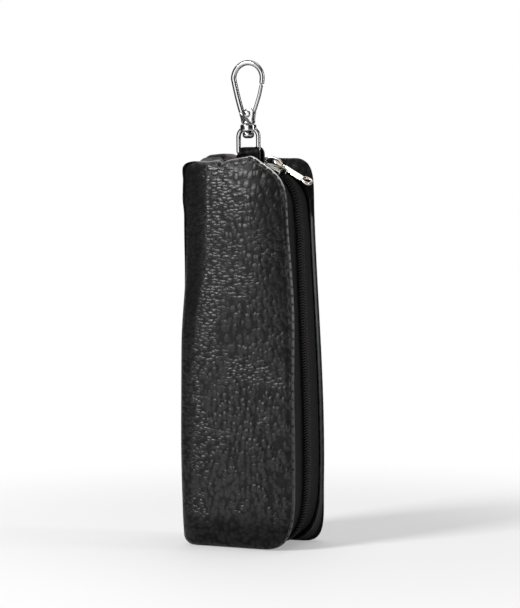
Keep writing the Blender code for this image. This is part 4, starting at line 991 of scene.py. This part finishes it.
PLATE, WIDE = 0.9 * MM, 4.1 * MM
half_angle = 4.8 * MM / slider_under
first, last = SLIDER_ANGLE - half_angle, SLIDER_ANGLE + half_angle
nose_first = first - 1.2 * MM / slider_under
divider_last = first + 2.2 * MM / slider_under
tail = np.linspace(0, 1, SLIDER_STEPS)
plate_widths = WIDE * (1 - 0.22 * np.clip((tail - 0.45) / 0.55, 0, 1) ** 1.5)
low_radius = ZIP_RADIUS - TAPE / 2 - GAP - PLATE / 2
flange_low = ZIP_RADIUS + TAPE / 2 + GAP
flange_high = slider_under + PLATE / 2
flange_middle, flange_half = (flange_low + flange_high) / 2, (flange_high - flange_low) / 2
slider_parts = [
    arc_bar("top", slider_under + PLATE / 2, plate_widths, PLATE / 2, nose_first, last, 4),
    arc_bar("low", low_radius, plate_widths, PLATE / 2, first, last, 4),
    arc_bar("divider", ZIP_RADIUS + 0.7 * MM, 0.8 * MM, 1.9 * MM, first, divider_last, 3),
]
for side in (-1, 1):
    flange, out = corner_arc(flange_middle, first, last)
    flange[:, 1] = side * (plate_widths - 0.4 * MM)
    slider_parts.append(bar("flange", bright_nickel, flange, out, 0.4 * MM, flange_half, 4, 12))
dress(join("zip_slider", *slider_parts), "slider", "bright_nickel", "slider_body")

# %% Bail
out = np.array([math.sin(SLIDER_ANGLE), 0, math.cos(SLIDER_ANGLE)])
down = np.array([math.cos(SLIDER_ANGLE), 0, -math.sin(SLIDER_ANGLE)])
seat = zip_corner + out * (slider_under + PLATE)
turns = np.linspace(np.pi, 0, 40)[:, None]
arch = seat + down * 3.2 * MM * np.cos(turns) + out * 2.55 * MM * np.sin(turns) ** 0.5
bail = bar("zip_bail", bright_nickel, arch, AXIS_Y, 0.45 * MM, 0.62 * MM, 2.6, 16)
dress(bail, "slider", "bright_nickel", "slider_bail")

# %% Pull
pull_axis = seat + out * 1.35 * MM
yaw, pitch = math.radians(7), math.radians(31)
pull_place = Matrix.Translation(pull_axis) @ Matrix.Rotation(yaw, 4, "Z") @ Matrix.Rotation(pitch, 4, "Y")
EYE_END, PULL_END = 5.15 * MM, 16.75 * MM
TWIST = math.radians(16)


def oblong(left, right_end, half, radius):
    """A rounded oblong in the pull's own XY plane, as points on its middle line."""
    corners = [(right_end, half), (left, half), (left, -half), (right_end, -half)]
    line = resample(rounded(cut_corners(corners, radius), 3, True), 96, True)
    return np.insert(line, 2, 0, axis=1)


def cut_corners(corners, radius):
    """Two points in place of each corner, each the radius away from it along an edge."""
    corners = np.asarray(corners, float)
    before = unit(np.roll(corners, 1, axis=0) - corners) * radius
    after = unit(np.roll(corners, -1, axis=0) - corners) * radius
    return np.stack([corners + before, corners + after], axis=1).reshape(-1, 2)


eye = oblong(0, EYE_END - 0.3 * MM, 2.05 * MM, 0.9 * MM)
end_loop = oblong(PULL_END - 4.0 * MM, PULL_END - 0.5 * MM, 2.4 * MM, 1.0 * MM)
blade = np.linspace((EYE_END - 0.5 * MM, 0, 0), (PULL_END - 3.7 * MM, 0, 0), 40)
blade_wide = ease(1.35 * MM, 2.75 * MM, np.linspace(0, 1, len(blade)) * 1.4)
pull = join(
    "zip_pull",
    bar("eye", polished_nickel, eye, (0, 0, 1), 0.45 * MM, 0.45 * MM, 2.4, 14, closed=True),
    bar("end", polished_nickel, end_loop, (0, 0, 1), 0.52 * MM, 0.6 * MM, 2.4, 14, closed=True),
    bar("blade", polished_nickel, blade, (0, 0, 1), blade_wide, 0.95 * MM, 1.15, 24),
)
points = np.zeros(len(pull.data.vertices) * 3)
pull.data.vertices.foreach_get("co", points)
points = points.reshape(-1, 3)
twist = TWIST * rise(points[:, 0], 4 * MM, 4 * MM)
across = points[:, 1] * np.cos(twist) - points[:, 2] * np.sin(twist)
points[:, 2] = points[:, 1] * np.sin(twist) + points[:, 2] * np.cos(twist)
points[:, 1] = across
pull.data.vertices.foreach_set("co", points.reshape(-1))
pull.data.transform(pull_place)
dress(pull, "pull", "bright_nickel", "pull_tab")

# %% [markdown]
# ## The strap and its rivet
#
# A strip of the same hide is folded over the swivel ring and under the key ring, and a tubular rivet holds
# its two plies. It is one closed belt, a rounded bar carried round its two folds, because separate plies
# would part where they bend. Its cut edges are sanded and sealed, so the faces that look sideways take
# another finish. The key ring is a flat wire wound twice, with its turns side by side.

# %% Strap
AXIS_Z = HEIGHT + 1.2 * MM
STRAP_LOW = AXIS_Z - 30.1 * MM
STRAP_WIDE, NECK_WIDE, WIRE = 4.1 * MM, 2.9 * MM, 0.9 * MM
belt_radius = WIRE + GAP + LEATHER / 2
# The middle surface in YZ is two half circles joined by straight plies, clockwise.
half_circle = belt_radius * circle(np.linspace(0, np.pi, 30))
strap_yz = resample(np.concatenate([half_circle + (0, AXIS_Z), -half_circle + (0, STRAP_LOW)]), 240, True)
strap_path, strap_z = np.insert(strap_yz, 0, hanger_x, axis=1), strap_yz[:, 1]
narrow_top = rise(strap_z, AXIS_Z - 0.2 * MM, 2.2 * MM)
narrow_low = rise(-strap_z, -STRAP_LOW - 1.6 * MM, 1.2 * MM)
shoulders = rise(strap_z, HEIGHT - 1.8 * MM, 1.2 * MM) * (1 - narrow_top)
strap_half = STRAP_WIDE + (NECK_WIDE - STRAP_WIDE) * np.maximum(narrow_top, narrow_low) + 0.8 * MM * shoulders
strap_path[:, 0] += 0.85 * MM * shoulders
strap_points = swept(strap_path, (1, 0, 0), LEATHER / 2, strap_half, 5, 40, closed=True)
beside_wire = (np.abs(strap_points[..., 0] - hanger_x) > NECK_WIDE) & (strap_points[..., 2] > AXIS_Z)
clear_y = np.sign(strap_points[..., 1]) * np.maximum(np.abs(strap_points[..., 1]), WIRE + GAP)
strap_points[..., 1] = np.where(beside_wire, clear_y, strap_points[..., 1])
strap = grid_object("hanger_loop", strap_points, strap_leather)
strap.data.materials.append(sealed_edge)
normals = np.zeros(len(strap.data.polygons) * 3)
strap.data.polygons.foreach_get("normal", normals)
edge_faces = np.abs(normals.reshape(-1, 3)[:, 0]) > 0.75
strap.data.polygons.foreach_set("material_index", edge_faces.astype(np.int32))
dress(strap, "case", "black_leather", "hanger_strap")

# %% Rivet and split ring


def two_heads(head, face):
    """A rivet's profile: the same head, as (radius, height) pairs in mm, at both faces of what it holds."""
    head = np.array(head) * MM
    return np.concatenate([head * (1, -1) - (0, face), (head + (0, face))[::-1]])


rivet_head = [(0, 0.75), (0.8, 0.72), (1.5, 0.5), (1.9, 0.22), (2.0, 0.0), (1.0, 0.0)]
rivet_profile = two_heads(rivet_head, WIRE + GAP + LEATHER + GAP)
rivet = turned("tubular_rivet", black_nickel, rivet_profile, (hanger_x, 0, AXIS_Z - 15 * MM), "Y")
dress(rivet, "case", "dark_nickel", "strap_rivet")

RING_RADIUS = 11.5 * MM
ring_drop = RING_RADIUS - math.sqrt(RING_RADIUS**2 - NECK_WIDE**2)
ring_middle = STRAP_LOW - WIRE + 0.55 * MM + ring_drop - RING_RADIUS
turns = np.linspace(0.15, 4 * np.pi - 0.15, 360)
lap = 0.225 * MM * np.tanh((turns - 2 * np.pi) / 0.5)
split = np.insert(RING_RADIUS * circle(turns)[:, ::-1], 1, lap, axis=1) + (hanger_x, 0, ring_middle)
split_ring = bar("split_ring", spring_wire, split, AXIS_Y, 0.55 * MM, 0.2 * MM, 4, 12)
dress(split_ring, "keys", "spring_steel", "key_ring")

# %% [markdown]
# ## The swivel and the snap hook
#
# A wire ring passes through the strap and carries a bored boss. The stud turns in the boss: a riveted bead
# under it and a collar over it. The hook is a tapered cast bar bent round to a nose, with a foot block and
# two ears. The gate is a bar with an eye, which a pin holds between the ears and a spring presses out. The
# hook could be cut from one plate, but the real one is round in section, so it is a bar along a path.

# %% Swivel ring
RING_WIDE, RING_HIGH = 4.1 * MM, 9.6 * MM
tight, loose = 1.3 * MM, 3.2 * MM
bends = []
for centre, radius, start in (
    ((RING_WIDE - tight, tight), tight, -90),
    ((RING_WIDE - loose, RING_HIGH - loose), loose, 0),
    ((loose - RING_WIDE, RING_HIGH - loose), loose, 90),
    ((tight - RING_WIDE, tight), tight, 180),
):
    bends.append(centre + radius * circle(np.radians(np.linspace(start, start + 90, 16))))
wire_xz = resample(np.concatenate(bends), 160, True) + (hanger_x, AXIS_Z)
wire_path = np.insert(wire_xz, 1, 0, axis=1)
ring_top = AXIS_Z + RING_HIGH
boss = [(1.4, -1.3), (2.6, -1.3), (2.98, -1.1), (3.08, -0.7)]
boss += [(3.08, 0.95), (2.98, 1.3), (2.6, 1.45), (1.4, 1.45), boss[0]]
boss = np.array(boss) * MM
swivel = join(
    "ring",
    bar("wire", black_nickel, wire_path, AXIS_Y, WIRE, WIRE, 2, 20, closed=True),
    turned("boss", black_nickel, boss, (hanger_x, 0, ring_top)),
)
dress(swivel, "ring", "dark_nickel", "swivel_ring")

# %% Stud
bead_top, boss_top = ring_top - 1.5 * MM, ring_top + 1.5 * MM
bead = [(0, -2.3), (0.9, -2.28), (1.6, -2.1), (2.05, -1.7)]
bead += [(2.2, -1.2), (2.2, -0.4), (2.05, -0.05), (1.1, 0.05)]
collar = [(1.1, 0), (1.1, 0.12), (2.2, 0.12), (2.4, 0.3), (2.35, 0.6), (1.6, 2.4), (1.1, 2.6), (0, 2.65)]
stud_profile = np.concatenate([np.array(bead) * MM + (0, bead_top), np.array(collar) * MM + (0, boss_top)])
stud = turned("stud", black_nickel, stud_profile, (hanger_x, 0, 0))
dress(stud, "hook", "dark_nickel", "swivel_stud")

# %% Hook
HOOK_WIDE, HOOK_HIGH, HOOK_WIRE = 6.95 * MM, 24.1 * MM, 1.0 * MM
PLATE_STEPS = 96
pivot_z = boss_top + 3.9 * MM
bend = HOOK_WIDE - HOOK_WIRE
arc_z = boss_top + HOOK_HIGH - HOOK_WIDE
foot = np.array([hanger_x - 1.6 * MM, boss_top + 1.2 * MM])
shoulder = np.array([hanger_x - bend, arc_z])
share = np.linspace(0, 1, 40)[:-1, None]
leg = foot + (shoulder - foot) * share - np.sin(share * np.pi) * (0.25 * MM, 0)
arc = (hanger_x, arc_z) + bend * circle(np.linspace(np.pi, 0, 60))
nose = np.array([[hanger_x + bend - 0.25 * MM, arc_z - 2.4 * MM]])
bar_path = np.insert(resample(np.concatenate([leg, arc, nose]), 160), 1, 0, axis=1)
taper = np.linspace(1.12, 0.96, len(bar_path))
bar_radius = HOOK_WIRE * taper * end_shares(bar_path, 0.7 * MM)


def plate(name, edge, y_low, y_high, rounding):
    """A plate in XZ with rounded edges: its outline drawn in towards the middle at both faces."""
    edge = resample(edge, PLATE_STEPS, True)
    middle = edge.mean(axis=0)
    reach = np.linalg.norm(edge - middle, axis=1, keepdims=True)
    turns = np.linspace(0, np.pi / 2, 5)
    levels = [(rounding * (1 - np.sin(turn)), y_low + rounding * (1 - np.cos(turn))) for turn in turns]
    levels += [(inset, y_high + y_low - y) for inset, y in levels[::-1]]
    rings = [np.insert(middle + (edge - middle) * (1 - inset / reach), 1, y, axis=1) for inset, y in levels]
    ends = [np.repeat([[middle[0], y, middle[1]]], PLATE_STEPS, axis=0) for y in (y_low, y_high)]
    return grid_object(name, np.array([ends[0], *rings, ends[1]]), black_nickel)


ear = [(-2.2, 0.35), (2.1, 0.35), (2.35, 2.4), (2.75, 4.6), (2.5, 5.6)]
ear += [(1.9, 6.1), (0.9, 6.0), (-0.2, 5.7), (-1.2, 5.0), (-2.0, 3.6)]
ear = rounded(np.array(ear) * MM + (hanger_x, boss_top), 2, True)
ears = [plate("ear", ear, y, y + 0.7 * MM, 0.34 * MM) for y in (-1.6 * MM, 0.9 * MM)]
foot_block = [(-2.3, 0.35), (2.2, 0.35), (2.4, 1.2), (-1.0, 1.6), (-1.8, 4.2), (-3.0, 4.6), (-2.7, 2.8)]
foot_block = np.array(foot_block) * MM + (hanger_x, boss_top)
block = plate("block", foot_block, -1.5 * MM, 1.5 * MM, 0.3 * MM)
bent_bar = bar("bar", black_nickel, bar_path, AXIS_Y, bar_radius, bar_radius, 2, 24)
dress(join("snap_hook", bent_bar, *ears, block), "hook", "dark_nickel", "hook_body")

# %% Gate, pin and spring
gate_line = np.array([(1.0, 4.2), (2.6, 4.9), (3.45, 7.3), (4.76, 11.0), (5.3, 13.5)]) * MM
gate_line = np.concatenate([gate_line + (hanger_x, boss_top), nose - (0.1 * MM, 0.05 * MM)])
gate_line = resample(rounded(gate_line, 2), 80)
gate_path = np.insert(gate_line, 1, 0, axis=1)
gate_ends = end_shares(gate_path, 0.4 * MM)
eye_edge = np.array([(1, -0.6), (1.8, -0.6), (2.0, -0.4), (2.0, 0.4), (1.8, 0.6), (1, 0.6), (1, -0.6)]) * MM
gate = join(
    "gate",
    bar("bar", black_nickel, gate_path, AXIS_Y, 0.6 * MM * gate_ends, 0.85 * MM * gate_ends, 2.6, 20),
    turned("eye", black_nickel, eye_edge, (hanger_x, 0, pivot_z), "Y"),
)
dress(gate, "gate", "dark_nickel", "hook_gate")
pin_head = [(0, 0.5), (0.6, 0.47), (1.05, 0.36), (1.27, 0.18), (1.32, 0.0), (0.7, 0.0)]
pin_place = (hanger_x + 0.3 * MM, 0, pivot_z)
pin = turned("gate_rivet", black_nickel, two_heads(pin_head, 1.9 * MM), pin_place, "Y")
dress(pin, "hook", "dark_nickel", "gate_pin")
wound, climb = circle(np.linspace(0, 3 * np.pi, 90)), np.linspace(0.07, 0.63, 90)
coils = np.insert(1.12 * wound, 1, climb, axis=1) * MM + (hanger_x, 0, pivot_z)
spring = bar("torsion_spring", spring_wire, coils, AXIS_Y, 0.12 * MM, 0.12 * MM, 2, 8)
dress(spring, "hook", "spring_steel", "gate_spring")

# %% [markdown]
# ## Camera, floor and light
#
# The camera stands 0.8 m away, 25 degrees to the right of the front and just under the height of the
# case's top, with a long lens. It looks down by 3 degrees and is rolled by half a degree. These values were
# fitted to the outlines, because a view set by eye would show other sides.

# %% Camera
AZIMUTH, PITCH, ROLL = math.radians(25), math.radians(2.94), math.radians(-0.51)
DISTANCE, SIDEWAYS, EYE_HEIGHT = 0.800, 0.003436, 0.132
FOCAL_PIXELS, PICTURE_WIDTH, SENSOR_MM = 2118.7, 520, 36.0
right = np.array([math.cos(AZIMUTH), math.sin(AZIMUTH), 0])
level = np.array([-math.sin(AZIMUTH), math.cos(AZIMUTH), 0])
forward = level * math.cos(PITCH) - np.array([0, 0, 1]) * math.sin(PITCH)
upward = np.cross(right, forward)
camera_right = right * math.cos(ROLL) + upward * math.sin(ROLL)
camera_up = upward * math.cos(ROLL) - right * math.sin(ROLL)
spot = -level * DISTANCE + right * SIDEWAYS + np.array([0, 0, EYE_HEIGHT])
lens = bpy.data.cameras.new("camera")
lens.sensor_width = SENSOR_MM
lens.sensor_fit = "HORIZONTAL"
lens.lens = FOCAL_PIXELS * SENSOR_MM / PICTURE_WIDTH
lens.clip_end = 20
camera = in_scene("camera", lens)
columns = np.stack([camera_right, camera_up, -forward, spot], axis=1)
camera.matrix_world = Matrix([*columns.tolist(), [0, 0, 0, 1]])
bpy.context.scene.camera = camera
print("camera at", np.round(spot, 3))

# %% [markdown]
# ### Floor and light
#
# The floor is matte white board. Near the case it is a real surface that takes the soft contact shadow, and
# further out the camera sees it fade into the white backdrop. The main light is a soft box at the front
# left. An overhead box fills in, a strip at the right lights the zip side, and a card lights the plated
# metal alone, as a reflector held close would. The world is plain for matte surfaces. For mirrors it is a
# studio: white behind the case, with black cards at the left, at the right and on the camera's side, and a
# warmer tone to the right. A picture of a room would do too, but cards put the dark lines beside the
# highlights of metal and satin leather where they are needed.

# %% Floor
FLOOR_Z = -0.02 * MM
floor_points = [[(-3, -3, FLOOR_Z), (3, -3, FLOOR_Z)], [(-3, 3, FLOOR_Z), (3, 3, FLOOR_Z)]]
white_board, node, shader = new_material("matte_white_board", "#f2f2f2", 0.7)
away = node("VectorMath", node("TexCoord", output="Object"), operation="LENGTH")
far = node("MapRange", away, 0.07, 0.26, 0.3, 1.0, **SMOOTH)
fade = node("Math", node("LightPath", output="Is Camera Ray"), far, operation="MULTIPLY")
glow = node("Emission", Color=(1, 1, 1, 1), Strength=1.0)
surface = node("MixShader", fade, shader.outputs[0], glow)
connect(white_board.node_tree.nodes["Material Output"], Surface=surface)
floor = grid_object("floor", floor_points, white_board, wrap=False)

# %% Lamps


def soft_box(name, place, target, size, power, receivers=None):
    """A rectangular lamp that faces a point. With receivers, it lights only that collection's pieces."""
    lamp = bpy.data.lights.new(name, "AREA")
    lamp.shape = "RECTANGLE"
    lamp.size, lamp.size_y = size
    lamp.energy = power
    made = in_scene(name, lamp)
    made.location = place
    made.rotation_euler = (made.location - Vector(target)).to_track_quat("Z", "Y").to_euler()
    made.light_linking.receiver_collection = receivers


plates = (bright_nickel, polished_nickel, black_nickel)
metal_pieces = bpy.data.collections.new("metal_pieces")
for piece in bpy.data.objects:
    if piece.type == "MESH" and piece.data.materials and piece.data.materials[0] in plates:
        metal_pieces.objects.link(piece)
soft_box("front_left_soft_box", (-0.36, -0.64, 0.54), (0, 0, 0.10), (0.20, 0.26), 6.8)
soft_box("overhead_soft_box", (0.05, 0.2, 0.95), (0, 0, 0.08), (0.7, 0.5), 2.8)
soft_box("hardware_card", (-0.02, -0.5, 0.20), (0, 0, 0.15), (0.45, 0.3), 0.85, metal_pieces)
soft_box("right_strip", (0.75, 0.15, 0.35), (0, 0, 0.09), (0.12, 0.6), 1.5)

# %% World
world = bpy.data.worlds.new("studio")
bpy.context.scene.world = world
world.use_nodes = True
tree = world.node_tree
tree.nodes.clear()
node = partial(add_node, tree)
camera_ray, _, diffuse_ray, glossy_ray = node("LightPath").node.outputs[:4]
direction = node("TexCoord", output="Generated")


def facing(axis, *span):
    """How far a ray's direction points along an axis, from -1 to 1, mapped over a span by a smooth step."""
    return node("MapRange", node("VectorMath", direction, axis, operation="DOT_PRODUCT"), *span, **SMOOTH)


behind = facing(level, -0.15, 0.3, 0.03, 1.0)
left_card = facing(-right, 0.55, 0.8, 1.0, 0.06)
above = facing((0, 0, 1), 0.35, 0.8, 0.0, 0.25)
right_card = facing(right, 0.5, 0.8, 1.0, 0.1)
cards = node("Math", left_card, right_card, operation="MULTIPLY")
studio = node("Math", behind, cards, above, operation="MULTIPLY_ADD")
mirror = node("Math", glossy_ray, studio, operation="MULTIPLY")
matte = node("Math", diffuse_ray, 0.14, operation="MULTIPLY")
seen = node("Math", camera_ray, node("Math", mirror, matte, operation="MAXIMUM"), operation="MAXIMUM")
warm = node("Math", glossy_ray, facing(right, 0.1, 0.6), operation="MULTIPLY")
tone = node("Mix", warm, (1, 1, 1, 1), linear("#f2d6c2"), **COLOUR)
connect(tree.nodes.new("ShaderNodeOutputWorld"), Surface=node("Background", Color=tone, Strength=seen))
bpy.context.scene.view_settings.view_transform = "Standard"
